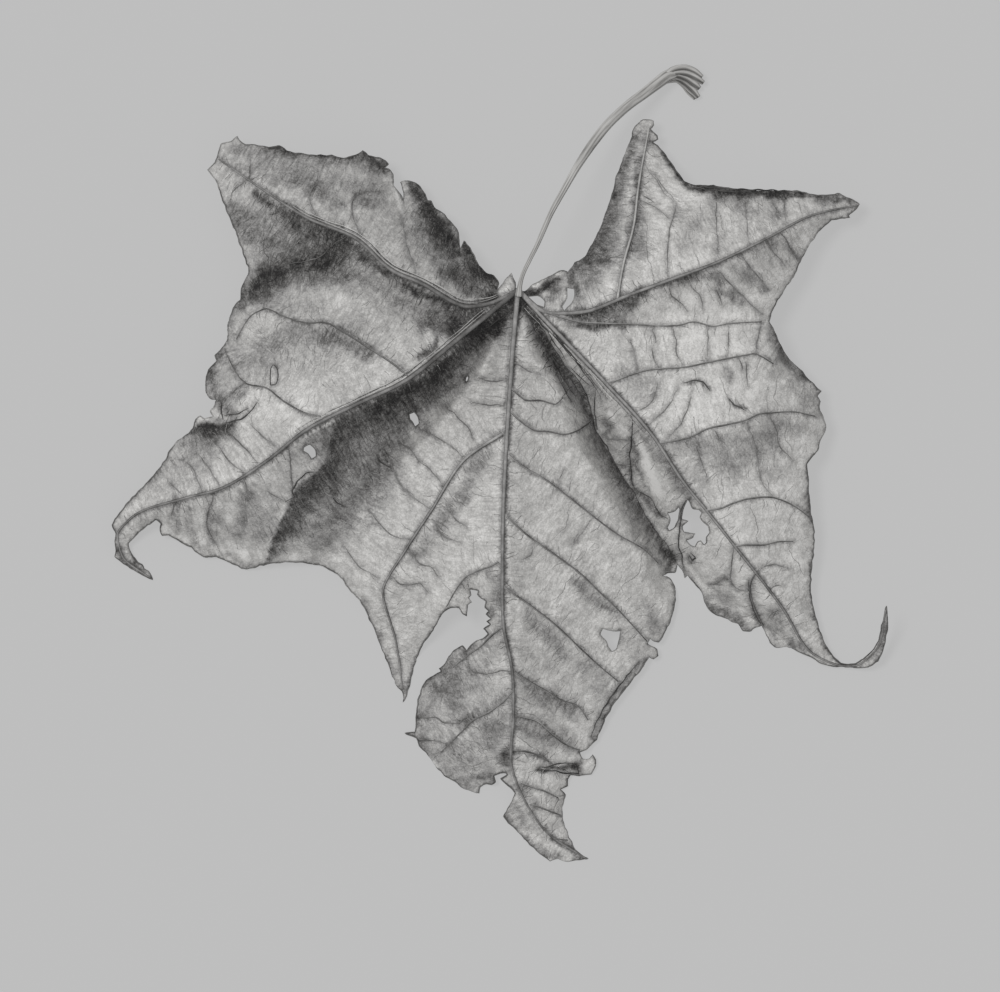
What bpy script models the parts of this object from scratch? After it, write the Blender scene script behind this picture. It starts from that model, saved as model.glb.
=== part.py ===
"""A dry maple leaf, lying underside up: a curled, torn blade and its long stalk. Metres, +Z up.

The plan is drawn in millimetres from the joint where the stalk meets the blade, X to the right and Y
towards the stalk. The whole leaf is then moved so that the origin is the middle of its box, on the floor.
"""

import math

import bpy
import numpy as np
from mathutils import Vector
from mathutils.geometry import delaunay_2d_cdt

MM = 0.001
BLADE_THICKNESS = 0.4
FACET = 3.6  # spacing of the blade's mesh points
FACET_CLEARANCE = 0.62  # share of a facet kept free beside the margin and the holes
MARGIN_STEP = 3.0  # spacing of the points along its margin
HOLE_SIDES = 10
WELD = 1e-6  # mesh points closer than this are one
SAG = 0.5  # how far the blade hangs between neighbouring veins
SAG_REACH = 4.0  # distance from a vein at which it has nearly all its sag
SAG_STEP = 2.0  # spacing of the points along the veins that the sag is measured from
RELIEF_STEP = 1.0  # cell of the height grid
COARSE_STEPS = (8.0, 4.0, 2.0)  # coarser grids, solved first
START_HEIGHT = 10.0  # height of the grid before it is stretched
STRETCH_PASSES = 300  # passes that stretch each grid between its lines
RELIEF_BORDER = 8.0  # room round the blade in the grid
ROUND_OFF = 3  # smoothing passes over the creases
STALK_SIDES = 3  # bevel resolution: ten sides round the stalk
STALK_RESOLUTION = 4  # steps along the stalk between two of its points
BLADE_COLOUR = (0.38, 0.37, 0.36)
BLADE_ROUGHNESS = 0.8
STALK_COLOUR = (0.25, 0.24, 0.23)
STALK_ROUGHNESS = 0.7

# The blade's margin, clockwise from the right of the joint.
SUB_LOBE = [
    (1.5, -0.3), (4.4, 1.7), (8.7, 3.9), (13.1, 6.2), (16.1, 11.3), (18.7, 18.3), (21.1, 26.3),
    (24.1, 33.3), (27.1, 33.7), (26.7, 29.7), (30.4, 25.7), (35.1, 20.8),
]
UPPER_RIGHT_LOBE = [
    (43.7, 20.0), (52.0, 19.8), (60.4, 18.9), (68.2, 17.2), (62.7, 14.0), (57.2, 7.5), (52.4, -1.0),
    (50.2, -6.3),
]
RIGHT_LOBE = [
    (53.1, -12.3), (60.4, -20.5), (61.3, -28.0), (57.8, -34.5), (58.5, -44.5), (59.2, -51.0),
    (58.4, -58.0), (60.0, -67.5), (63.0, -73.0), (67.2, -74.6), (70.5, -72.5), (72.3, -68.5),
    (73.5, -63.3), (73.9, -67.0), (72.8, -72.4), (70.0, -75.4), (65.0, -75.7), (60.7, -74.6),
    (55.0, -71.8), (50.3, -70.0), (46.2, -68.2), (42.0, -65.9), (38.3, -64.0), (35.6, -58.9),
    (32.6, -55.5),
]
CENTRE_LOBE = [
    (31.0, -56.8), (31.4, -60.5), (30.0, -67.0), (27.6, -72.6), (21.0, -80.2), (16.3, -88.0),
    (15.4, -94.5), (10.3, -97.5), (9.0, -103.5), (14.0, -113.6), (6.3, -114.2), (-2.9, -105.3),
    (-1.0, -100.3), (-4.6, -98.4), (-10.7, -99.8), (-16.5, -95.0), (-22.3, -88.7), (-20.2, -83.0),
    (-15.0, -75.6), (-7.5, -69.9), (-6.2, -64.5), (-9.0, -60.3), (-10.6, -64.8),
]
LOWER_LEFT_LOBE = [
    (-15.2, -64.9), (-19.4, -71.5), (-23.0, -82.3), (-26.5, -73.0), (-30.7, -63.5), (-35.3, -57.5),
    (-40.9, -54.7),
]
LEFT_LOBE = [
    (-48.9, -54.5), (-54.9, -55.6), (-62.6, -53.2), (-70.2, -49.0), (-72.3, -46.0), (-77.5, -50.5),
    (-76.5, -53.6), (-73.1, -57.8), (-79.3, -54.4), (-80.8, -47.5), (-74.3, -38.7), (-69.3, -31.7),
    (-64.4, -25.8), (-60.6, -23.2), (-62.2, -20.0), (-58.1, -8.0), (-55.3, -1.5), (-53.7, 4.0),
]
UPPER_LEFT_LOBE = [
    (-56.4, 11.8), (-58.9, 18.0), (-62.0, 24.2), (-59.3, 29.3), (-54.0, 29.3), (-44.9, 27.5),
    (-35.3, 26.4), (-26.2, 25.2), (-22.9, 18.4), (-19.9, 21.0), (-15.0, 15.3), (-11.9, 8.2),
    (-7.8, 4.7), (-3.9, 0.6), (-1.6, 2.4), (-0.7, -0.3),
]
MARGIN = (
    SUB_LOBE + UPPER_RIGHT_LOBE + RIGHT_LOBE + CENTRE_LOBE + LOWER_LEFT_LOBE + LEFT_LOBE + UPPER_LEFT_LOBE
)

# Holes eaten through the blade: centre, half width, half height.
HOLES = [
    ((36.0, -46.6), (2.3, 4.4)),
    ((18.6, -69.8), (1.9, 2.4)),
    ((-20.6, -25.7), (1.1, 1.6)),
    ((-41.9, -32.2), (1.3, 1.2)),
]

# Lines that the blade hangs from, as plan and height: its main veins, its folds and its margins.
RIDGES = {
    "midrib": [
        (0, 0, 13), (-0.9, -10, 15.5), (-1.9, -24, 18.5), (-2.8, -40, 19), (-3.1, -56, 18),
        (-2.9, -67, 16), (-1.2, -76, 13.5), (-0.9, -85, 10.5), (-1.2, -95.7, 6.5), (5.1, -107.8, 1.5),
        (13.7, -113.8, -1),
    ],
    "left_vein": [
        (0, 0, 13), (-12.6, -10.3, 19), (-22.3, -18, 23), (-32.6, -23, 24.5), (-41.9, -27.7, 24),
        (-50.3, -34.2, 21), (-58.9, -39.5, 16), (-66.9, -41.7, 11.5), (-76.3, -44.8, 6.5),
        (-80.1, -48.7, 4), (-79, -53.5, 1.5), (-73.1, -57.9, -0.5),
    ],
    "upper_left_vein": [
        (0, 0, 13), (-5.6, -2.7, 14), (-10.9, -3.2, 16), (-19.3, 1.3, 19.5), (-25.3, 4, 21),
        (-32.6, 10.4, 21.5), (-42.3, 14.5, 19.5), (-50.9, 20, 14.5), (-61, 27, 6),
    ],
    "right_vein": [
        (0, 0, 13), (4.7, -5.2, 14), (17, -18, 18), (26.7, -28.8, 20), (33.1, -38.4, 19),
        (37.9, -44.3, 17.5), (43.8, -51.8, 14.5), (52.9, -63.6, 8.5), (58.3, -72.2, 4), (64, -75, 2),
        (68, -75, 2.5), (72, -71.5, 5.5), (73.6, -63.5, 11),
    ],
    "upper_right_vein": [
        (0, 0, 13), (5, -4.2, 13.5), (13.4, -4.3, 17), (22.7, -0.8, 20), (31.1, 2.3, 20.5),
        (39.7, 5.5, 19.5), (49.7, 10.3, 16), (58.4, 14.8, 11.5), (68, 17, 6.5),
    ],
    "sub_lobe_vein": [
        (19.9, -1.7, 19), (21.1, 5.3, 18.5), (23.1, 12.7, 16), (24.1, 20.7, 12), (26.1, 32, 5),
    ],
    "lower_left_vein": [
        (-3.1, -28.7, 18.5), (-10.8, -34, 16.5), (-17.3, -44, 14), (-22.3, -51.7, 11.5),
        (-27, -60, 8), (-24.5, -70, 1.5), (-23.3, -78, -2.5), (-23, -83, -4),
    ],
    "left_panel_vein": [
        (-22.1, -17.2, 22.5), (-29.6, -11.7, 20.5), (-38.3, -6.5, 18.5), (-46.6, -5.3, 15.5),
        (-54.5, -6, 11),
    ],
    "left_shoulder": [(-38, -27, 23.5), (-43.6, -38.7, 18), (-47.9, -46.7, 11), (-51, -55, 3.5)],
    "right_rung_upper": [(18.6, -18.3, 18), (33.1, -15.4, 18.5), (45.4, -13, 15.5), (51, -13, 12)],
    "right_rung_middle": [(29.9, -30.6, 19.5), (46, -25.8, 17.5), (59.4, -25, 9.5)],
    "right_rung_lower": [(39, -44.5, 17), (46, -41.9, 15.5), (52, -42, 13), (58.3, -45.4, 8)],
}
FOLDS = {
    "left_fold": [
        (-2.5, -7, 11), (-8, -17.5, 10), (-16.5, -28, 10.5), (-26, -37.5, 10.5), (-34.5, -47, 8),
        (-38.9, -55.5, 3),
    ],
    "centre_shoulder": [
        (2, -9, 14), (8.5, -21, 13.5), (11.5, -29.5, 13), (17, -40, 11.5), (21.5, -48, 9.5),
        (25.5, -55, 7),
    ],
    "centre_crease": [
        (0.8, -2.5, 11.5), (5.8, -12.2, 8.5), (13.8, -21.8, 6.5), (16, -28.8, 5.5), (22.4, -39.5, 4),
        (26.7, -47, 2.5), (29.9, -52.9, 0.5), (31.5, -56.8, -0.6),
    ],
    "under_upper_left_vein": [
        (-12, -7.5, 14.5), (-25, -3, 16.5), (-36, 4.5, 15.5), (-45, 3, 13), (-54, 1.5, 8),
    ],
    "under_upper_right_vein": [(9, -8, 13), (20, -7, 15.5), (34, -5, 16), (50.5, -5.5, 9.5)],
}
EDGES = {
    "sub_lobe_left": [(4, 1.8, 12.5), (13, 6.5, 12.5), (17, 13.5, 11), (20, 24, 8), (24, 33, 4)],
    "upper_right_top": [(28, 29, 5), (33.5, 21.7, 9), (43, 20.2, 11), (55, 19.7, 9.5), (66, 18.5, 6)],
    "upper_right_lower": [(64, 14.3, 7), (57.2, 7.5, 9.5), (52.4, -1, 10)],
    "right_outer": [
        (53.1, -12.3, 8), (60.4, -20.5, 6.5), (61.3, -28, 7), (57.9, -34.5, 9), (58.5, -44.5, 7.5),
        (59, -52, 6.5), (58.5, -60, 5), (60.5, -69, 3.5),
    ],
    "right_inner": [
        (32.8, -55.5, -1.5), (37.5, -63, -1), (43, -66.5, -2.5), (48, -68.5, -2.5), (55, -71.8, 0),
    ],
    "centre_right": [
        (31.3, -60.5, 3.5), (29.5, -68, 4), (21, -80.2, 4), (15.5, -90, 3), (12, -96.8, 2.5),
        (9, -104, 0.5),
    ],
    "centre_left": [
        (-10, -60.5, 10), (-7, -66, 11), (-10.5, -71.8, 8), (-17.5, -77.8, 4), (-20.3, -88, 2),
        (-12.5, -98, 0.5), (-5, -98, 2.5),
    ],
    "tip_left": [(-3, -105.3, 0), (1, -109.5, -0.8), (7, -114.2, -1)],
    "lower_left_inner": [(-13.5, -63.5, 9), (-18, -69.5, 4.5), (-21.5, -78, -2)],
    "lower_left_outer": [(-40.9, -54.7, 2), (-34, -59.5, 2.5), (-29.5, -66, 1), (-26, -75, -2)],
    "left_lower": [(-53.6, -55.6, 2), (-62.6, -53.2, 3), (-70, -49, 4), (-76.5, -49.5, 4)],
    "left_upper": [
        (-81, -47, 3.5), (-74.3, -38.7, 6.5), (-69.3, -31.7, 8), (-62.5, -25.8, 7), (-62, -19, 7),
        (-58.1, -8, 8.5), (-54.5, 1, 8),
    ],
    "upper_left_outer": [(-53.9, 5, 9), (-57.4, 14, 9), (-61, 23, 6)],
    "upper_left_top": [
        (-59.5, 29.3, 5), (-52, 29, 8.5), (-42, 27, 10), (-33, 27, 9.5), (-25.5, 24.5, 7),
        (-19, 19.5, 6), (-12.5, 11.5, 7), (-7.8, 4.7, 9.5), (-3.9, 1.2, 12),
    ],
}

# The stalk's middle line with its radius: it arches up from the joint, and its swollen foot rests on the
# floor.
STALK = [
    ((0.55, 0.15, 13.6), 0.6), ((0.9, 3.0, 14.6), 0.5), ((2.3, 6.0, 15.4), 0.5), ((5.1, 12.0, 16.4), 0.55),
    ((8.0, 18.0, 16.5), 0.62), ((11.4, 24.0, 15.3), 0.75), ((15.4, 30.0, 12.8), 0.92),
    ((19.8, 35.0, 9.9), 0.97), ((25.3, 39.4, 6.4), 1.05), ((30.0, 42.9, 3.4), 1.2), ((32.4, 43.2, 2.4), 1.6),
    ((35.2, 41.6, 2.5), 2.3), ((36.2, 40.8, 2.5), 2.4),
]


def clear_scene():
    for obj in list(bpy.data.objects):
        bpy.data.objects.remove(obj, do_unlink=True)


def make_collection(name):
    group = bpy.data.collections.new(name)
    bpy.context.scene.collection.children.link(group)
    return group


def make_material(name, rgb, roughness):
    material = bpy.data.materials.new(name)
    material.use_nodes = True
    shader = material.node_tree.nodes["Principled BSDF"]
    shader.inputs["Base Color"].default_value = (*rgb, 1.0)
    shader.inputs["Roughness"].default_value = roughness
    shader.inputs["Metallic"].default_value = 0.0
    return material


def along(points, step):
    """Points no further apart than step, on the straight runs through an open list of points."""
    points = np.asarray(points, float)
    run = []
    for start, end in zip(points[:-1], points[1:]):
        count = max(1, math.ceil(np.linalg.norm((end - start)[:2]) / step))
        run += [start + (end - start) * i / count for i in range(count)]
    return np.array(run + [points[-1]])


def smooth_loop(points, step):
    """A closed curve through the points. Its tangents fade out at sharp turns, so torn corners stay sharp."""
    points = np.asarray(points, float)
    before = points - np.roll(points, 1, axis=0)
    after = np.roll(points, -1, axis=0) - points
    lengths = np.linalg.norm(after, axis=1)
    heading_in = before / np.linalg.norm(before, axis=1)[:, None]
    heading_out = after / lengths[:, None]
    straightness = np.clip((heading_in * heading_out).sum(axis=1), 0.0, 1.0)
    tangents = (heading_in + heading_out) / 2 * straightness[:, None]
    curve = []
    for i, start in enumerate(points):
        end = points[(i + 1) % len(points)]
        pull_out = tangents[i] * lengths[i]
        pull_in = tangents[(i + 1) % len(points)] * lengths[i]
        count = max(1, round(lengths[i] / step))
        for t in np.arange(count) / count:
            curve.append(
                (2 * t**3 - 3 * t**2 + 1) * start
                + (t**3 - 2 * t**2 + t) * pull_out
                + (3 * t**2 - 2 * t**3) * end
                + (t**3 - t**2) * pull_in
            )
    return np.array(curve)


def ellipse(centre, half, count):
    turn = np.arange(count) * math.tau / count
    return np.array(centre) + np.stack([half[0] * np.cos(turn), half[1] * np.sin(turn)], axis=1)


def distance_to(points, line):
    """Distance in plan from each point to the nearest point of a line already cut into short steps."""
    nearest = np.full(len(points), np.inf)
    for spot in line:
        nearest = np.minimum(nearest, np.hypot(points[:, 0] - spot[0], points[:, 1] - spot[1]))
    return nearest


def inside(points, loop):
    """True for each point that a closed loop goes round."""
    found = np.zeros(len(points), bool)
    for start, end in zip(loop, np.roll(loop, -1, axis=0)):
        crosses = (start[1] > points[:, 1]) != (end[1] > points[:, 1])
        rise = end[1] - start[1] if end[1] != start[1] else 1.0
        reach = start[0] + (points[:, 1] - start[1]) / rise * (end[0] - start[0])
        found ^= crosses & (points[:, 0] < reach)
    return found


class Relief:
    """The blade's height over its plan: a skin stretched between its lines, on a square grid."""

    def __init__(self, lines, low, high):
        self.low = np.asarray(low, float)
        size = np.asarray(high, float) - self.low
        heights = np.full((4, 4), START_HEIGHT)
        for step in (*COARSE_STEPS, RELIEF_STEP):
            shape = tuple((np.ceil(size / step).astype(int) + 1).tolist())
            heights = self.stretched_to(heights, shape)
            fixed, values = self.pinned(lines, step, shape)
            for _ in range(STRETCH_PASSES):
                heights = np.where(fixed, values, self.mean_of_neighbours(heights))
        for _ in range(ROUND_OFF):
            heights = 0.5 * heights + 0.5 * self.mean_of_neighbours(heights)
        self.heights = heights

    @staticmethod
    def stretched_to(heights, shape):
        rows = np.linspace(0, heights.shape[0] - 1, shape[0]).round().astype(int)
        columns = np.linspace(0, heights.shape[1] - 1, shape[1]).round().astype(int)
        return heights[np.ix_(rows, columns)]

    def pinned(self, lines, step, shape):
        total = np.zeros(shape)
        count = np.zeros(shape)
        for line in lines:
            for spot in along(line, step / 2):
                cell = tuple(np.round((spot[:2] - self.low) / step).astype(int))
                total[cell] += spot[2]
                count[cell] += 1
        return count > 0, total / np.maximum(count, 1)

    @staticmethod
    def mean_of_neighbours(heights):
        padded = np.pad(heights, 1, mode="edge")
        return (padded[2:, 1:-1] + padded[:-2, 1:-1] + padded[1:-1, 2:] + padded[1:-1, :-2]) / 4

    def at(self, points):
        place = (np.asarray(points, float)[:, :2] - self.low) / RELIEF_STEP
        cell = np.clip(np.floor(place).astype(int), 0, np.array(self.heights.shape) - 2)
        part = place - cell
        i, j = cell.T
        a, b = part.T
        across = self.heights[i, j] * (1 - a) + self.heights[i + 1, j] * a
        across_next = self.heights[i, j + 1] * (1 - a) + self.heights[i + 1, j + 1] * a
        return across * (1 - b) + across_next * b


def plan_points(loops):
    """A triangular lattice of points over the blade, kept clear of its margin and holes."""
    low = loops[0].min(axis=0)
    high = loops[0].max(axis=0)
    rows = np.arange(low[1], high[1], FACET * math.sqrt(3) / 2)
    lattice = []
    for number, y in enumerate(rows):
        start = low[0] + (number % 2) * FACET / 2
        lattice += [(x, y) for x in np.arange(start, high[0], FACET)]
    lattice = np.array(lattice)
    keep = inside(lattice, loops[0])
    for loop in loops:
        keep &= distance_to(lattice, loop) > FACET * FACET_CLEARANCE
    for hole in loops[1:]:
        keep &= ~inside(lattice, hole)
    return lattice[keep]


def blade_heights(points, relief):
    """Height of the lower face: the relief, sagging a little between veins, flat where it meets the floor."""
    veins = [along(line, SAG_STEP)[:, :2] for name, line in RIDGES.items() if name.endswith("vein")]
    away = distance_to(points, np.vstack(veins))
    sag = SAG * (1 - np.exp(-((away / SAG_REACH) ** 2)))
    return np.maximum(relief.at(points) - sag, 0.0)


def make_blade(group, shift):
    """The blade: an open curved sheet, thickened upwards so that its flat patches stand on the floor."""
    margin = smooth_loop(MARGIN, MARGIN_STEP)
    loops = [margin] + [ellipse(centre, half, HOLE_SIDES) for centre, half in HOLES]
    spots = np.vstack(loops + [plan_points(loops)])
    edges = []
    start = 0
    for loop in loops:
        count = len(loop)
        edges += [(start + i, start + (i + 1) % count) for i in range(count)]
        start += count
    lines = [*RIDGES.values(), *FOLDS.values(), *EDGES.values()]
    relief = Relief(lines, margin.min(axis=0) - RELIEF_BORDER, margin.max(axis=0) + RELIEF_BORDER)
    flat, _, faces, *_ = delaunay_2d_cdt([Vector(spot) for spot in spots], edges, [], 0, WELD)
    flat = np.array([tuple(spot) for spot in flat])
    middles = np.array([flat[list(face)].mean(axis=0) for face in faces])
    keep = inside(middles, margin)
    for hole in loops[1:]:
        keep &= ~inside(middles, hole)
    faces = [tuple(face) for face, kept in zip(faces, keep) if kept]
    corners = np.column_stack([flat, blade_heights(flat, relief)]) + shift
    mesh = bpy.data.meshes.new("leaf_blade")
    mesh.from_pydata((corners * MM).tolist(), [], faces)
    mesh.validate()
    mesh.shade_smooth()
    blade = bpy.data.objects.new("leaf_blade", mesh)
    group.objects.link(blade)
    thickness = blade.modifiers.new("thickness", "SOLIDIFY")
    thickness.thickness = BLADE_THICKNESS * MM
    thickness.offset = 1.0
    mesh.materials.append(make_material("dry_leaf_blade", BLADE_COLOUR, BLADE_ROUGHNESS))
    return blade


def make_stalk(group, shift):
    """The stalk is one tapered round rod, with its swollen foot at the far end."""
    curve = bpy.data.curves.new("leaf_stalk", "CURVE")
    curve.dimensions = "3D"
    curve.bevel_depth = MM
    curve.bevel_resolution = STALK_SIDES
    curve.use_fill_caps = True
    curve.resolution_u = STALK_RESOLUTION
    spline = curve.splines.new("BEZIER")
    spline.bezier_points.add(len(STALK) - 1)
    for knot, (spot, radius) in zip(spline.bezier_points, STALK):
        knot.co = (np.array(spot) + shift) * MM
        knot.radius = radius
        knot.handle_left_type = "AUTO"
        knot.handle_right_type = "AUTO"
    stalk = bpy.data.objects.new("leaf_stalk", curve)
    group.objects.link(stalk)
    curve.materials.append(make_material("dry_leaf_stalk", STALK_COLOUR, STALK_ROUGHNESS))
    return stalk


def plan_shift():
    """What moves the middle of the leaf's box in plan to the origin."""
    margin = smooth_loop(MARGIN, MARGIN_STEP)
    foot = np.array([(spot[0], spot[1] + radius) for spot, radius in STALK])
    low = np.minimum(margin.min(axis=0), foot.min(axis=0))
    high = np.maximum(margin.max(axis=0), foot.max(axis=0))
    return np.array([*(-(low + high) / 2), 0.0])


def main():
    clear_scene()
    group = make_collection("maple_leaf")
    shift = plan_shift()
    make_blade(group, shift)
    make_stalk(group, shift)


main()
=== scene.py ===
import math

import bpy
import numpy as np
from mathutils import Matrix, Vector, kdtree, noise
from mathutils.geometry import delaunay_2d_cdt


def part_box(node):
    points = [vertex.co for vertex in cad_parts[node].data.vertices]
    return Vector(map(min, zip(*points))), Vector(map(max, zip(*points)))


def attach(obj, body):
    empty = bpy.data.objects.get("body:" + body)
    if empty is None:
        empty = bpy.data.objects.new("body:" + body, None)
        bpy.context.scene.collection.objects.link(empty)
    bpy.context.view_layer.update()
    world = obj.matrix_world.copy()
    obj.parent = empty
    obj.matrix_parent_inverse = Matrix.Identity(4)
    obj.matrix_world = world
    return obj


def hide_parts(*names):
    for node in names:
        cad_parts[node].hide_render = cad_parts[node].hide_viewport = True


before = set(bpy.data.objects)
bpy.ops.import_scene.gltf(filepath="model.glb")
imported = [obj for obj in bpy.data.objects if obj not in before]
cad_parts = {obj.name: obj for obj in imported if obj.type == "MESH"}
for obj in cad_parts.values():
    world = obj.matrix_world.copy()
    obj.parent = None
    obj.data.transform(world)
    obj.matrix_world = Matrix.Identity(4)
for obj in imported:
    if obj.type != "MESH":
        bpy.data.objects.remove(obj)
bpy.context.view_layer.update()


# ---- The leaf's blade -------------------------------------------------------------------------------
# A dead maple leaf's blade, lying with its veined underside up: five lobes of thin tissue, which folded
# along the main veins, curled and tore as it dried, and which insects ate holes in. It is one sheet laid
# over its folds. Its plan is in millimetres from the joint with the stalk, X right and Y to the stalk.

MM = 0.001
# The tissue's thickness, how far apart the points of its sheet lie, and how ragged its torn edges are.
TISSUE = 0.25
TISSUE_STEP = 0.56
MARGIN_STEP = 0.5
VEIN_STEP = 0.5
MARGIN_TEAR = 0.09
HOLE_TEAR = 0.07
# The veins' radii where they start and at their ends.
MAIN_RADII = {
    "midrib": (0.52, 0.14), "left_vein": (0.52, 0.13), "upper_left_vein": (0.45, 0.13),
    "right_vein": (0.42, 0.13), "upper_right_vein": (0.45, 0.14), "sub_lobe_vein": (0.26, 0.17),
    "lower_left_vein": (0.32, 0.12),
}
SIDE_RADII = (0.19, 0.08)

# The margin, clockwise from the right of the joint.
SUB_LOBE = [
    (1.5, -0.3), (2.7, 0.8), (4.4, 1.7), (7.1, 3), (8.7, 3.9), (10.1, 3.5), (11.4, 5.3), (13.1, 6.2),
    (14.7, 8.7), (16.1, 11.3), (17.7, 15.3), (18.7, 18.3), (19.7, 22), (21.1, 26.3), (22.7, 30.3),
    (23.2, 32.2), (24.1, 33.4), (25.1, 34.1), (27, 33.8), (27.2, 33), (26.4, 32.1), (27.7, 30.8),
    (27.9, 30.2), (26.8, 29.7), (28.7, 28), (31.7, 23.7), (33.4, 21.7), (35.1, 20.8),
]
UPPER_RIGHT_LOBE = [
    (39.1, 20.8), (43.7, 20), (49.7, 19.7), (55.7, 19.7), (60.4, 18.8), (62.4, 19), (64.2, 19.2),
    (65.7, 18.5), (68.3, 17.3), (67.7, 16.2), (66.1, 15), (66.2, 14.5), (64.7, 14.5), (62.7, 14),
    (59.7, 11.3), (57.2, 7.5), (55.1, 3), (52.4, -1), (50.6, -4.7), (50.2, -6.3),
]
RIGHT_LOBE = [
    (51.1, -8), (53.1, -12.3), (54.4, -14.2), (56.4, -16), (59.4, -19.3), (60.6, -20.2), (59.7, -21.3),
    (60.4, -22.3), (60.2, -23.3), (61.1, -26), (61.4, -28), (60.4, -30), (59.9, -32), (58.5, -33.5),
    (57.8, -34.5), (57.9, -38), (58.4, -44), (59.1, -48.5), (59.2, -51), (58.7, -55), (58.4, -59),
    (58.7, -62.5), (59.6, -66), (61, -69.8), (62.6, -72.8), (64.6, -74.6), (67, -74.8), (68.3, -74.2),
    (70.5, -72.5), (72, -70.2), (72.8, -67), (73.2, -65), (73.7, -63.3), (73.9, -66), (73.5, -70),
    (72.8, -72.4), (71.6, -74.4), (70, -75.4), (67.3, -75.5), (64.8, -75.3), (62.5, -75.2), (60.7, -74.6),
    (58.3, -73.2), (56, -72.2), (53.2, -71.3), (51.5, -71.4), (50.3, -70), (49.3, -68.3), (48.7, -67.1),
    (47.5, -67.4), (46.2, -68.3), (45, -68.1), (44, -66.8), (42, -65.9), (40, -65), (38.3, -64),
    (37.3, -62.4), (36.8, -60.8), (35, -58.2), (33.9, -57.1), (33.3, -57.6), (32.8, -56), (31.9, -54.8),
]
CENTRE_RIGHT = [
    (31.4, -56.5), (29.8, -56.7), (28.6, -57.2), (30.2, -57.6), (31, -58.6), (31.4, -60.2), (31.2, -63),
    (30.4, -66), (29.2, -68.7), (28, -70.5), (26.3, -69.6), (25.8, -70.6), (26.6, -71.3), (27.6, -71.9),
    (28, -73.1), (27, -73.9), (26.2, -73.2), (24.5, -76), (22.8, -78), (21, -80.2), (19.2, -82.5),
    (17.8, -85), (16.4, -88), (15.3, -90.3), (14.3, -91.2), (13.6, -91.8), (12.4, -92.2), (12.4, -93.1),
    (13, -93.8), (14.2, -93.7), (15, -92.9), (15.5, -94), (15.4, -95.2), (14.7, -96.4), (13.5, -96.9),
    (10.3, -97), (9.9, -98.2), (9.8, -99.2), (8.4, -99.8), (9.4, -101), (8.9, -103), (8.8, -105),
    (9.5, -107.5), (10.5, -110), (11.8, -112.3), (14.1, -113.7), (12.8, -113.9), (11.3, -114.1),
]
CENTRE_LEFT = [
    (9.5, -114.3), (8, -113.9), (6.3, -114.2), (4.8, -113), (3, -111.5), (1, -109.5), (-1, -107.3),
    (-2.9, -105.3), (-1.2, -102.3), (-0.6, -100.6), (-2, -99), (-3.3, -97.7), (-2, -97), (-2.3, -96.5),
    (-3.4, -96.6), (-4.7, -97.1), (-4.5, -98.3), (-5.2, -98.9), (-6.3, -98.7), (-7.6, -99.4),
    (-7.7, -100.7), (-10.7, -99.8), (-12.5, -98.3), (-14.8, -97), (-16.5, -95), (-18, -92.9),
    (-19.6, -91.2), (-20.3, -89.7), (-22.5, -88.7), (-20.6, -88.3), (-20.3, -86), (-20.1, -83.5),
    (-19.7, -81.3), (-19, -79.3), (-17.8, -77.7), (-16.5, -77), (-15.3, -76.2), (-15.6, -75.6),
    (-14.4, -74.6), (-13.6, -73.3), (-13, -72.5), (-11, -71.2), (-10.4, -72.3), (-9.3, -71),
    (-8.1, -70.2), (-6.9, -69.6), (-5.8, -68.8), (-6.8, -67.8), (-5.5, -67), (-6.2, -66.3), (-5.4, -65.7),
    (-6.3, -64.9), (-5.7, -64.1), (-6.6, -63.5), (-6.4, -62.2), (-8, -60.8), (-7.9, -60.1), (-9.6, -59.8),
    (-9.4, -61), (-9.9, -61.5), (-9.2, -62.4), (-10, -63), (-10.3, -65.2), (-11.1, -64.7), (-11.8, -63.6),
    (-13, -63.3), (-14.3, -63.9),
]
LOWER_LEFT_LOBE = [
    (-15.2, -64.9), (-17, -68), (-19.4, -71.5), (-20.9, -75.8), (-22, -80.2), (-22.5, -81.5),
    (-23, -82.4), (-23, -80.6), (-24.3, -79), (-25.9, -75), (-27.6, -70.7), (-29.5, -66), (-31.6, -62),
    (-33.6, -59.9), (-35.3, -57.5), (-36.9, -56.3), (-38.9, -55.2), (-40.9, -54.7),
]
LEFT_LOBE_LOWER = [
    (-43.6, -54.4), (-46.6, -54.3), (-48.9, -54.5), (-51.6, -55.1), (-53.6, -55.7), (-54.9, -55.7),
    (-58.3, -54), (-60.3, -53.3), (-62.6, -53.4), (-65.3, -51.5), (-67.9, -50), (-69.9, -49),
    (-71.1, -49), (-71.6, -48), (-71.4, -46.7), (-72.3, -45.8), (-73.6, -46.5), (-75.3, -48),
    (-76.9, -49.5), (-78, -50.6), (-77.8, -51.8), (-76.9, -53.3), (-75.4, -55), (-73.9, -56.3),
    (-73.1, -57.9), (-75.6, -56.8), (-77.6, -55.5), (-79.3, -54.3),
]
LEFT_LOBE_UPPER = [
    (-80.6, -53.3), (-80.4, -52), (-80.6, -50.3), (-80.4, -48.7), (-81.1, -47), (-78.6, -43.3),
    (-74.3, -38.7), (-71.9, -36), (-70.3, -33.7), (-69.3, -31.7), (-66.3, -29), (-64.9, -27.7),
    (-64.4, -25.8), (-63.6, -25.2), (-62.6, -25.8), (-60.9, -25.3), (-61.4, -24.3), (-60.6, -23),
    (-60.1, -21.7), (-61.6, -21.7), (-62.3, -20.5), (-61.8, -16), (-60.2, -14.1), (-60.5, -13.1),
    (-58.7, -11.2), (-57.9, -9.3), (-58.1, -8), (-57.1, -4.3), (-56.4, -2.8), (-55.3, -2), (-55.4, -0.3),
    (-54.7, 1.5), (-53.7, 4),
]
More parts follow.
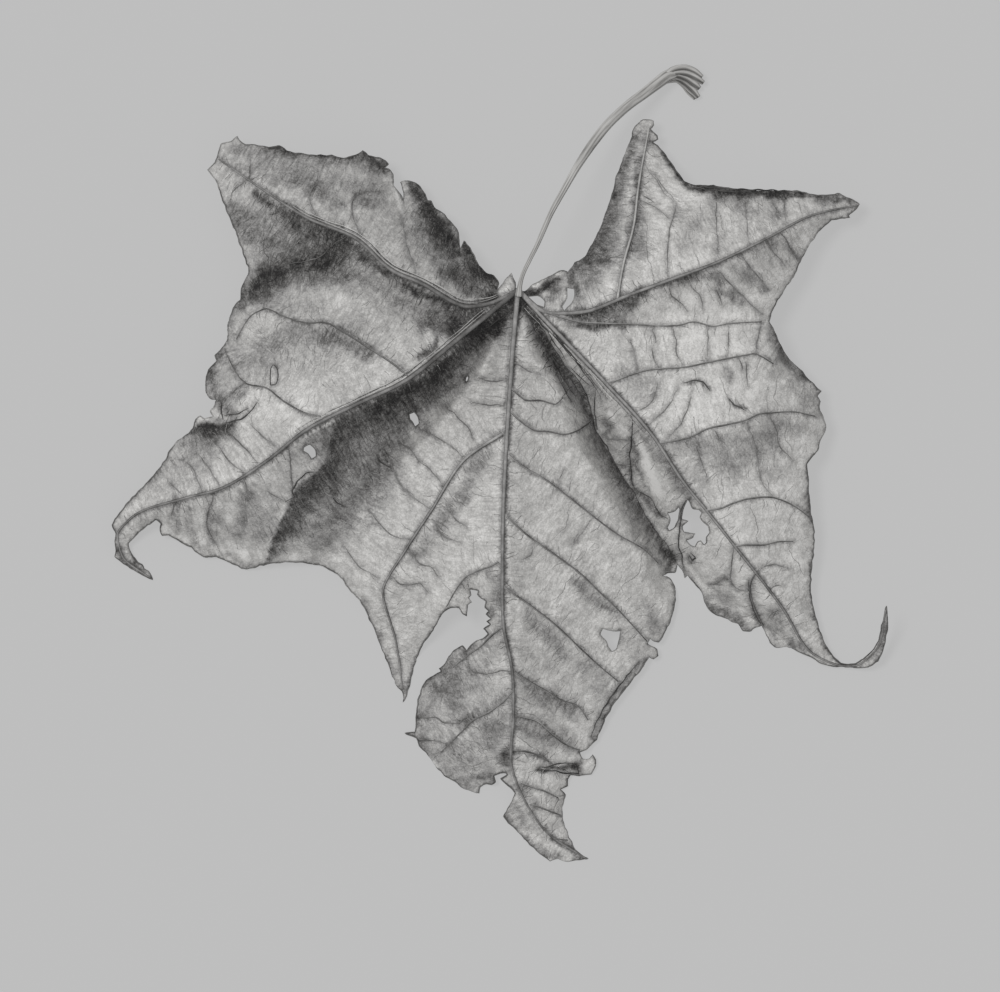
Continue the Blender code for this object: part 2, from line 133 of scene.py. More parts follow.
UPPER_LEFT_LOBE = [
    (-54.1, 5.3), (-55.6, 9.3), (-56.4, 11.8), (-57.9, 15.3), (-58.9, 18), (-59.9, 20.7), (-60.8, 22.5),
    (-62.1, 24.1), (-60.3, 26), (-59.9, 27.3), (-59.3, 29.3), (-57.3, 29.7), (-56.1, 30.7), (-54.8, 29.2),
    (-52.6, 29), (-49.9, 28.5), (-47.6, 28.7), (-46.3, 27.8), (-42.3, 27), (-36.9, 26.8), (-35.3, 26.3),
    (-31.9, 27.3), (-31.1, 28), (-30.3, 27), (-26.6, 26), (-25.9, 25.2), (-26.8, 24.5), (-25.9, 24),
    (-25.1, 23), (-24.9, 20.7), (-23.9, 19.7), (-22.9, 17.7), (-22.8, 19.3), (-23.5, 21.6), (-21.5, 21.7),
    (-19.9, 21), (-18.7, 19.1), (-18.2, 17.8), (-17.5, 17.8), (-16.6, 16.2), (-15, 15.3), (-13.5, 13.5),
    (-12.2, 11.8), (-11.8, 9.3), (-12, 6.2), (-11.3, 8.6), (-10.8, 9.7), (-9.9, 8.7), (-8.9, 7),
    (-7.8, 4.7), (-6.3, 3.3), (-4.9, 2.7), (-3.8, 1.2), (-4.3, -0.3), (-2.9, 1.3), (-1.4, 3.3),
    (-0.5, 1.3), (-0.7, -0.3),
]
MARGIN = (
    SUB_LOBE + UPPER_RIGHT_LOBE + RIGHT_LOBE + CENTRE_RIGHT + CENTRE_LEFT + LOWER_LEFT_LOBE
    + LEFT_LOBE_LOWER + LEFT_LOBE_UPPER + UPPER_LEFT_LOBE
)

# Holes that insects ate through it.
HOLES = {
    "flap": [(34, -41.6), (35.1, -43.7), (36.2, -43.9), (36.8, -44.5), (36.5, -45.2), (37.2, -46.3),
             (38.1, -47.1), (38.4, -48.4), (37.8, -49.3), (37.8, -50.4), (37.2, -50.9), (36.5, -50.2),
             (36, -50.4), (35.4, -51.3), (34.4, -50.9), (33.6, -50), (35, -49.5), (35.3, -48.7),
             (33.2, -48.3), (32.9, -47.2), (34, -46.2), (32.9, -45.8), (33, -44.4), (33.4, -43.1)],
    "flap_inner": [(29.9, -44.6), (31.6, -44.1), (32.2, -43.3), (32.5, -43.5), (32.2, -45.2),
                   (31.7, -46.7), (31, -47.7), (30.2, -48.2), (29.9, -47.6), (30.5, -46.2),
                   (30.2, -45.2)],
    "centre": [(17, -67.6), (18.9, -68.2), (20.6, -68.1), (20.2, -70), (19.6, -72), (18.9, -72.4),
               (18.2, -71.6), (17.6, -70.3), (16.3, -68.9)],
    "joint": [(1.7, -1.1), (4.4, -1.3), (5.4, -2.3), (5.2, -3.5), (3.4, -2.8), (2.1, -1.8)],
    "joint_right": [(9.8, 0.4), (11.2, 0.2), (11.4, -1), (10.9, -2.7), (9.4, -4.1), (8.8, -3.3),
                    (9.8, -1.7)],
    "left_fold": [(-21.8, -24.6), (-20.8, -24.3), (-20.1, -25.2), (-19.8, -26.8), (-20.7, -27.3),
                  (-21.3, -26.2), (-21.8, -25.4)],
    "left_rib": [(-42.9, -31.4), (-41.6, -30.7), (-40.5, -31.8), (-40.4, -33.2), (-41.4, -33.8),
                 (-42, -32.7), (-43, -32.2)],
    "small": [(-10.6, -17.4), (-10.2, -17.1), (-9.9, -17.6), (-10.1, -18.3), (-10.5, -18.2)],
}

# Lines that the blade hangs from, as plan and height: its main veins, its folds and its margins.
RIDGES = {
    "midrib": [(0, 0, 13), (-0.9, -10, 15.5), (-1.9, -24, 18.5), (-2.8, -40, 19), (-3.1, -56, 18),
               (-2.9, -67, 16), (-1.2, -76, 13.5), (-0.9, -85, 10.5), (-1.2, -95.7, 6.5),
               (5.1, -107.8, 1.5), (13.7, -113.8, -1)],
    "left_vein": [(0, 0, 13), (-12.6, -10.3, 19), (-22.3, -18, 23), (-32.6, -23, 24.5),
                  (-41.9, -27.7, 24), (-50.3, -34.2, 21), (-58.9, -39.5, 16), (-66.9, -41.7, 11.5),
                  (-76.3, -44.8, 6.5), (-80.1, -48.7, 4), (-79, -53.5, 1.5), (-73.1, -57.9, -0.5)],
    "upper_left_vein": [(0, 0, 13), (-5.6, -2.7, 14), (-10.9, -3.2, 16), (-19.3, 1.3, 19.5),
                        (-25.3, 4, 21), (-32.6, 10.4, 21.5), (-42.3, 14.5, 19.5), (-50.9, 20, 14.5),
                        (-61, 27, 6)],
    "right_vein": [(0, 0, 13), (4.7, -5.2, 14), (17, -18, 18), (26.7, -28.8, 20), (33.1, -38.4, 19),
                   (37.9, -44.3, 17.5), (43.8, -51.8, 14.5), (52.9, -63.6, 8.5), (58.3, -72.2, 4),
                   (64, -75, 2), (68, -75, 2.5), (72, -71.5, 5.5), (73.6, -63.5, 11)],
    "upper_right_vein": [(0, 0, 13), (5, -4.2, 13.5), (13.4, -4.3, 17), (22.7, -0.8, 20),
                         (31.1, 2.3, 20.5), (39.7, 5.5, 19.5), (49.7, 10.3, 16), (58.4, 14.8, 11.5),
                         (68, 17, 6.5)],
    "sub_lobe_vein": [(19.9, -1.7, 19), (21.1, 5.3, 18.5), (23.1, 12.7, 16), (24.1, 20.7, 12),
                      (26.1, 32, 5)],
    "lower_left_vein": [(-3.1, -28.7, 18.5), (-10.8, -34, 16.5), (-17.3, -44, 14), (-22.3, -51.7, 11.5),
                        (-27, -60, 8), (-24.5, -70, 1.5), (-23.3, -78, -2.5), (-23, -83, -4)],
    "left_panel_vein": [(-22.1, -17.2, 22.5), (-29.6, -11.7, 20.5), (-38.3, -6.5, 18.5),
                        (-46.6, -5.3, 15.5), (-54.5, -6, 11)],
    "left_shoulder": [(-38, -27, 23.5), (-43.6, -38.7, 18), (-47.9, -46.7, 11), (-51, -55, 3.5)],
    "right_rung_upper": [(18.6, -18.3, 18), (33.1, -15.4, 18.5), (45.4, -13, 15.5), (51, -13, 12)],
    "right_rung_middle": [(29.9, -30.6, 19.5), (46, -25.8, 17.5), (59.4, -25, 9.5)],
    "right_rung_lower": [(39, -44.5, 17), (46, -41.9, 15.5), (52, -42, 13), (58.3, -45.4, 8)],
}
FOLDS = {
    "left_fold": [(-2.5, -7, 11), (-8, -17.5, 10), (-16.5, -28, 10.5), (-26, -37.5, 10.5),
                  (-34.5, -47, 8), (-38.9, -55.5, 3)],
    "centre_shoulder": [(2, -9, 14), (8.5, -21, 13.5), (11.5, -29.5, 13), (17, -40, 11.5),
                        (21.5, -48, 9.5), (25.5, -55, 7)],
    "centre_crease": [(0.8, -2.5, 11.5), (5.8, -12.2, 8.5), (13.8, -21.8, 6.5), (16, -28.8, 5.5),
                      (22.4, -39.5, 4), (26.7, -47, 2.5), (29.9, -52.9, 0.5), (31.5, -56.8, -0.6)],
    "under_upper_left_vein": [(-12, -7.5, 14.5), (-25, -3, 16.5), (-36, 4.5, 15.5), (-45, 3, 13),
                              (-54, 1.5, 8)],
    "under_upper_right_vein": [(9, -8, 13), (20, -7, 15.5), (34, -5, 16), (50.5, -5.5, 9.5)],
}
EDGES = {
    "sub_lobe_left": [(4, 1.8, 12.5), (13, 6.5, 12.5), (17, 13.5, 11), (20, 24, 8), (24, 33, 4)],
    "upper_right_top": [(28, 29, 5), (33.5, 21.7, 9), (43, 20.2, 11), (55, 19.7, 9.5), (66, 18.5, 6)],
    "upper_right_lower": [(64, 14.3, 7), (57.2, 7.5, 9.5), (52.4, -1, 10)],
    "right_outer": [(53.1, -12.3, 8), (60.4, -20.5, 6.5), (61.3, -28, 7), (57.9, -34.5, 9),
                    (58.5, -44.5, 7.5), (59, -52, 6.5), (58.5, -60, 5), (60.5, -69, 3.5)],
    "right_inner": [(32.8, -55.5, -1.5), (37.5, -63, -1), (43, -66.5, -2.5), (48, -68.5, -2.5),
                    (55, -71.8, 0)],
    "centre_right": [(31.3, -60.5, 3.5), (29.5, -68, 4), (21, -80.2, 4), (15.5, -90, 3),
                     (12, -96.8, 2.5), (9, -104, 0.5)],
    "centre_left": [(-10, -60.5, 10), (-7, -66, 11), (-10.5, -71.8, 8), (-17.5, -77.8, 4),
                    (-20.3, -88, 2), (-12.5, -98, 0.5), (-5, -98, 2.5)],
    "tip_left": [(-3, -105.3, 0), (1, -109.5, -0.8), (7, -114.2, -1)],
    "lower_left_inner": [(-13.5, -63.5, 9), (-18, -69.5, 4.5), (-21.5, -78, -2)],
    "lower_left_outer": [(-40.9, -54.7, 2), (-34, -59.5, 2.5), (-29.5, -66, 1), (-26, -75, -2)],
    "left_lower": [(-53.6, -55.6, 2), (-62.6, -53.2, 3), (-70, -49, 4), (-76.5, -49.5, 4)],
    "left_upper": [(-81, -47, 3.5), (-74.3, -38.7, 6.5), (-69.3, -31.7, 8), (-62.5, -25.8, 7),
                   (-62, -19, 7), (-58.1, -8, 8.5), (-54.5, 1, 8)],
    "upper_left_outer": [(-53.9, 5, 9), (-57.4, 14, 9), (-61, 23, 6)],
    "upper_left_top": [(-59.5, 29.3, 5), (-52, 29, 8.5), (-42, 27, 10), (-33, 27, 9.5), (-25.5, 24.5, 7),
                       (-19, 19.5, 6), (-12.5, 11.5, 7), (-7.8, 4.7, 9.5), (-3.9, 1.2, 12)],
}

# Side veins that leave the main ones, and the thin rungs that tie them together.
SIDE_VEINS = [
    [(-1.3, -19.7), (1.7, -22), (4.5, -22), (7.5, -22.8), (9, -21.5)],
    [(-1.4, -24.3), (0.1, -25.8), (3.5, -28), (6, -28.2), (9.5, -28.8), (12, -28), (14.5, -26.3)],
    [(-2, -33), (0.5, -35), (5.5, -38), (8.5, -40.2), (15, -45.3), (20, -49), (25, -51.8), (28, -54.6)],
    [(-2.3, -45.3), (2, -49.2), (8.5, -53.8), (12.5, -56.8), (16, -60.2), (20, -64), (25.8, -70.3)],
    [(-2.7, -59.5), (4, -64.3), (8, -67.5), (12, -71.3), (16, -75), (20, -78.3)],
    [(-0.6, -76.5), (2.5, -78.5), (6, -80.5), (8.5, -82), (12, -83.3), (14, -86)],
    [(-0.1, -85.1), (4, -86.3), (6.5, -88.5), (9.5, -90.8), (12.4, -92)],
    [(-0.6, -92), (2, -92.3), (4.5, -93.2), (6.2, -94.4)],
    [(0.4, -98.4), (3, -99.4), (5.5, -100.2), (8, -101.5)],
    [(3.4, -103), (5.5, -103.8), (8.5, -105)],
    [(5.2, -107.5), (7, -109.5), (10, -110)],
    [(-3.9, -54.3), (-5.6, -55.2), (-8.3, -56.2), (-10.3, -57.2), (-12.5, -60), (-14.3, -63.3)],
    [(-2.9, -67.2), (-5, -68.8), (-7.5, -71.2), (-10, -73), (-13, -75.5)],
    [(-0.9, -80), (-3, -82.3), (-6, -84.5), (-9, -86), (-11, -88), (-13.5, -90.5), (-15.5, -92.5)],
    [(-22.1, -17.2), (-24.6, -15), (-29.6, -11.7), (-34.9, -8.3), (-38.3, -6.5), (-42.3, -6.5),
     (-46.6, -5.3), (-50.3, -3.7), (-51.9, -4.2), (-53.6, -5.3), (-56.3, -9.7)],
    [(-39.4, -25.3), (-42.3, -24.8), (-46.9, -22.3), (-50.3, -19.7), (-54.3, -18.8), (-55.9, -17.3),
     (-58.6, -12.3)],
    [(6, -4.6), (12.1, -6.3), (17, -6.6), (23.1, -6.8), (32.1, -7), (35.1, -6.3), (39.1, -7.2),
     (42.1, -6.7), (48.7, -6.3)],
    [(18, -18.6), (25.6, -16), (33.1, -15.4), (39.5, -14.1), (45.4, -13), (47.4, -12.7), (51.1, -14.7)],
    [(28.5, -30.6), (34, -29.5), (37.9, -27.7), (42, -26.8), (46, -25.8), (48, -24.8), (51.1, -24.5),
     (55, -24.3), (59.4, -25.2)],
    [(37.6, -44), (40.5, -43.6), (43.5, -42.4), (46, -41.7), (50.8, -41.4), (55, -43), (58.3, -45.4)],
    [(43.3, -51.2), (46, -50.9), (49.2, -50.9), (52, -50.3), (55, -50.2)],
    [(47.5, -56.5), (46.5, -58.5), (46.5, -61), (47.5, -64), (49, -67)],
]
RUNGS = [
    [(-16.1, -10), (-16.9, -12), (-19.6, -14)],
    [(-54.9, -19), (-56.9, -20.2), (-58.3, -21.7)],
    [(-53.4, -27), (-51.6, -28.7), (-48.6, -31.3)],
    [(-58.3, -28.3), (-55.9, -30.3), (-52.3, -34.2)],
    [(-60.3, -30.7), (-57.3, -34.7), (-54.6, -36.8)],
    [(-63.9, -32.7), (-62.3, -35), (-59.8, -38.8)],
    [(-67.6, -33.8), (-65.3, -35.3), (-63.3, -40.2)],
    [(-69.9, -38.3), (-67.3, -40.7)],
    [(-45.9, -30.7), (-45.4, -36.7), (-45.1, -41.3)],
    [(-54.6, -37.2), (-54.3, -40), (-52.9, -40.7)],
    [(-50.3, -40), (-46.9, -42.2)],
    [(-68.6, -42.7), (-69.3, -45.3)],
    [(-60.9, -41), (-62.3, -46.7), (-59.6, -52.3)],
    [(-19.9, 2.3), (-21.3, 6), (-22.3, 9.3), (-23.6, 15.3)],
    [(-31.6, 10.7), (-33.2, 15.3), (-33.1, 18), (-30.3, 19.7), (-27.6, 19), (-26.3, 17.3)],
    [(-39.9, 13.8), (-41.6, 18), (-41.3, 20.3), (-39.9, 21.3)],
    [(-53.6, 22.2), (-53.4, 25.7)],
    [(-54.6, 21.8), (-57.3, 19.3), (-57.4, 16.7)],
    [(-34.3, 10.7), (-36.9, 9), (-40.3, 6.3), (-47, 5)],
    [(39.1, 4.7), (43.7, 0), (48.7, -4.7)],
    [(44.2, 7.2), (48.1, 2.7), (50.1, 0.2)],
    [(49.4, 10), (53.4, 4.7)],
    [(52.4, 11.7), (56.1, 6)],
    [(39.6, 19.3), (39.7, 13), (40, 7.3)],
    [(45.4, 17), (45.7, 13), (46.3, 9.3)],
    [(53.4, 18), (53.4, 13.3)],
    [(31.7, 17), (30.1, 10.3), (29.9, 2.7)],
    [(24.4, 18), (27.7, 16.3), (30.4, 14.2)],
    [(27.1, 23), (31.4, 17.7)],
    [(42.1, -6.7), (41.9, -13.3)],
    [(48.7, -6.3), (47.4, -12.7)],
    [(-20.1, -85.7), (-16, -85.7), (-14.5, -86.6), (-12, -86.5), (-9, -85.4)],
    [(-20, -90), (-17, -90.2), (-14, -90.8)],
    [(-1, -76.3), (-4, -76.3), (-7, -76.9), (-9.3, -76), (-10.3, -73.2)],
    [(48, -56), (50, -55), (54, -55.5)],
    [(50.5, -59.6), (51.5, -59.2), (53, -59.3)],
    [(43.2, -51.5), (42.9, -54.5), (42.5, -57.5), (43.5, -59.5), (45.5, -60.2)],
    [(41.5, -57), (40, -58.5), (38.5, -58.8)],
    [(50.2, -24.8), (51.8, -28.3), (52.2, -31), (55.5, -34.5)],
    [(45.8, -26.5), (47.5, -31), (48, -35), (49, -39), (51, -41.2)],
    [(39.5, -27.8), (40.2, -29.5)],
    [(35.5, -30.5), (36.5, -34), (38, -38.5)],
    [(-2, -18), (-5, -18.3), (-8, -17.5)],
    [(-3, -23), (-6, -23), (-9.5, -22.3)],
    [(-15.5, -22.5), (-12, -25.5), (-10, -27.5), (-9, -30)],
    [(-20, -27.5), (-15, -30), (-13, -31.5), (-11, -33.5)],
    [(-27, -32), (-25, -35.5), (-24, -38), (-21.5, -41), (-18, -43.5)],
    [(-20, -34), (-17.5, -36), (-15, -39)],
    [(-24, -30), (-21, -32.5), (-19.5, -35)],
    [(-30, -44), (-26, -48.5), (-24, -49.5), (-21.5, -50)],
    [(-14, -43), (-12.5, -46), (-10, -47.5)],
    [(-17, -46), (-15, -49), (-11.5, -50.5)],
    [(-22, -51.5), (-20, -54.5), (-17.5, -55.3), (-16, -57.3)],
    [(-34.5, -51.5), (-32, -55), (-28, -57.5)],
    [(-25, -57.5), (-23.5, -58.8), (-19.5, -58.9), (-18, -60.5)],
    [(-1, -14.5), (1.5, -16), (4, -17)],
    [(26.8, -7.5), (27.7, -10.5)],
    [(26.8, -11.5), (27, -13.5), (28.5, -16)],
    [(31, -7.5), (31.7, -10.5), (31.7, -12.5), (33, -15.3)],
    [(37.8, -7.5), (38, -10), (37.8, -14)],
    [(22.5, -10), (24, -15.5)],
    [(28, -19), (27, -22), (23, -25)],
    [(32, -19.5), (29.5, -24), (25.5, -27.5)],
    [(35, -20.5), (33, -26), (30, -29.5)],
    [(44, -13.5), (45, -16)],
    [(45.5, -14.5), (46, -19.5)],
    [(25.5, 25), (27.5, 22), (30, 18.5), (31.5, 17.5)],
    [(25, 19), (28, 17)],
    [(30, 1), (31, -1.5), (33, -3), (34, -4.5)],
    [(34.5, 1), (36.5, -1.5), (37, -4)],
    [(39.5, 0), (41, -3)],
    [(18, -29.8), (22.5, -30)],
    [(20, -35), (23, -35)],
    [(9, -36), (8, -38.5)],
    [(14.5, -46), (12.5, -49), (11, -51)],
    [(3, -51), (2.5, -53), (0.5, -54)],
]

# Creases and cracks where the drying tissue gave way, as plan points. Their strands are drawn dark, partly
# as real cracks and partly as painted shade in the valleys of the folds.
CREASES = [
    [(24.2, -74.4), (21.8, -77.2), (18.2, -81.8), (16, -85.8), (14.4, -89.4)],
    [(2.6, -3.6), (5.2, -7.4), (7.6, -11), (9.6, -14)],
    [(10.6, -15.4), (12.6, -17.4), (14.4, -19)],
    [(5.6, -12), (7.6, -15.4), (9.4, -18.6), (11.4, -21.2)],
    [(7.4, -16.4), (9, -19.6), (10.8, -22.4)],
    [(1.5, -2), (4.5, -7), (7, -11.5), (9.5, -15), (12.5, -18.5), (14, -21.5), (14.8, -25), (15.5, -28),
     (17.5, -31), (19, -34), (21, -37.5), (23.5, -41), (25.5, -45), (27.5, -48), (29.8, -51),
     (31.3, -54)],
    [(3, -3), (8, -10), (12, -15), (15.5, -19.5), (17, -22)],
    [(6, -6.5), (10, -12), (14, -17.5)],
    [(15.5, -20), (15.3, -24), (16, -28)],
    [(23, -26), (22.8, -30), (22.5, -33), (22.7, -37), (23.3, -40)],
    [(23.5, -40), (26.5, -41.5), (27.5, -43), (28.5, -45), (30, -46)],
    [(33.5, -42), (32.8, -43.8), (32.5, -45.8), (32.3, -48.4), (32.2, -50.2), (32.5, -52.4),
     (33.1, -55.6)],
    [(34.2, -53), (35, -54.1), (35.6, -53.6), (34.4, -52.4)],
    [(-59.6, -22), (-59.2, -24), (-58.9, -26)],
    [(-58.4, -26.6), (-57, -26.3), (-55.6, -25.8), (-53.6, -24.4), (-52, -22.3)],
    [(-58.6, -25.3), (-57, -24.8), (-55.6, -24.6), (-53.8, -23.5)],
    [(46.3, -58), (46.3, -61), (47, -63.5), (48.5, -67)],
    [(3.5, -95.5), (6, -95.2), (9.5, -94.7), (11.2, -94.6)],
    [(3.7, -95.8), (6, -96.1), (9, -96.5), (12.2, -96.7), (11.4, -94.8)],
    [(-48.9, -15), (-48.2, -15.7), (-48.1, -17.3), (-48.6, -18.9), (-49.4, -19.1), (-49.6, -17.4),
     (-49.4, -15.8), (-48.9, -15)],
    [(-40.8, -36.3), (-42.6, -36.8), (-44.2, -38.6), (-45.1, -40), (-44.6, -41.4), (-46.6, -42.2)],
    [(-37, -41.5), (-36, -42.8), (-35, -43.3)],
    [(41.8, -21.5), (43.2, -22.8), (45.5, -24)],
    [(33.2, -18.6), (35.2, -18), (37, -18.4), (38.3, -20)],
    [(30.6, 25), (32, 22.9), (34, 21.3), (37, 20.7), (41, 20.4), (46, 20.1), (52, 19.8), (56.5, 19.4)],
    [(31.8, 22.6), (34, 20.8), (37, 20.2), (41, 19.9), (46, 19.6), (51, 19.3)],
    [(2.2, -1.6), (6, -6.8), (10.2, -12.4), (14, -17), (18, -21.8)],
    [(1.2, -3.4), (3.6, -8.4), (6.8, -13.2), (10, -17.2), (12.6, -21.2), (13.4, -24.4)],
    [(-1, -4), (-8.5, -9), (-6.5, -9.8)],
    [(-28.6, -32.5), (-27.5, -34.5), (-26, -35.4)],
]
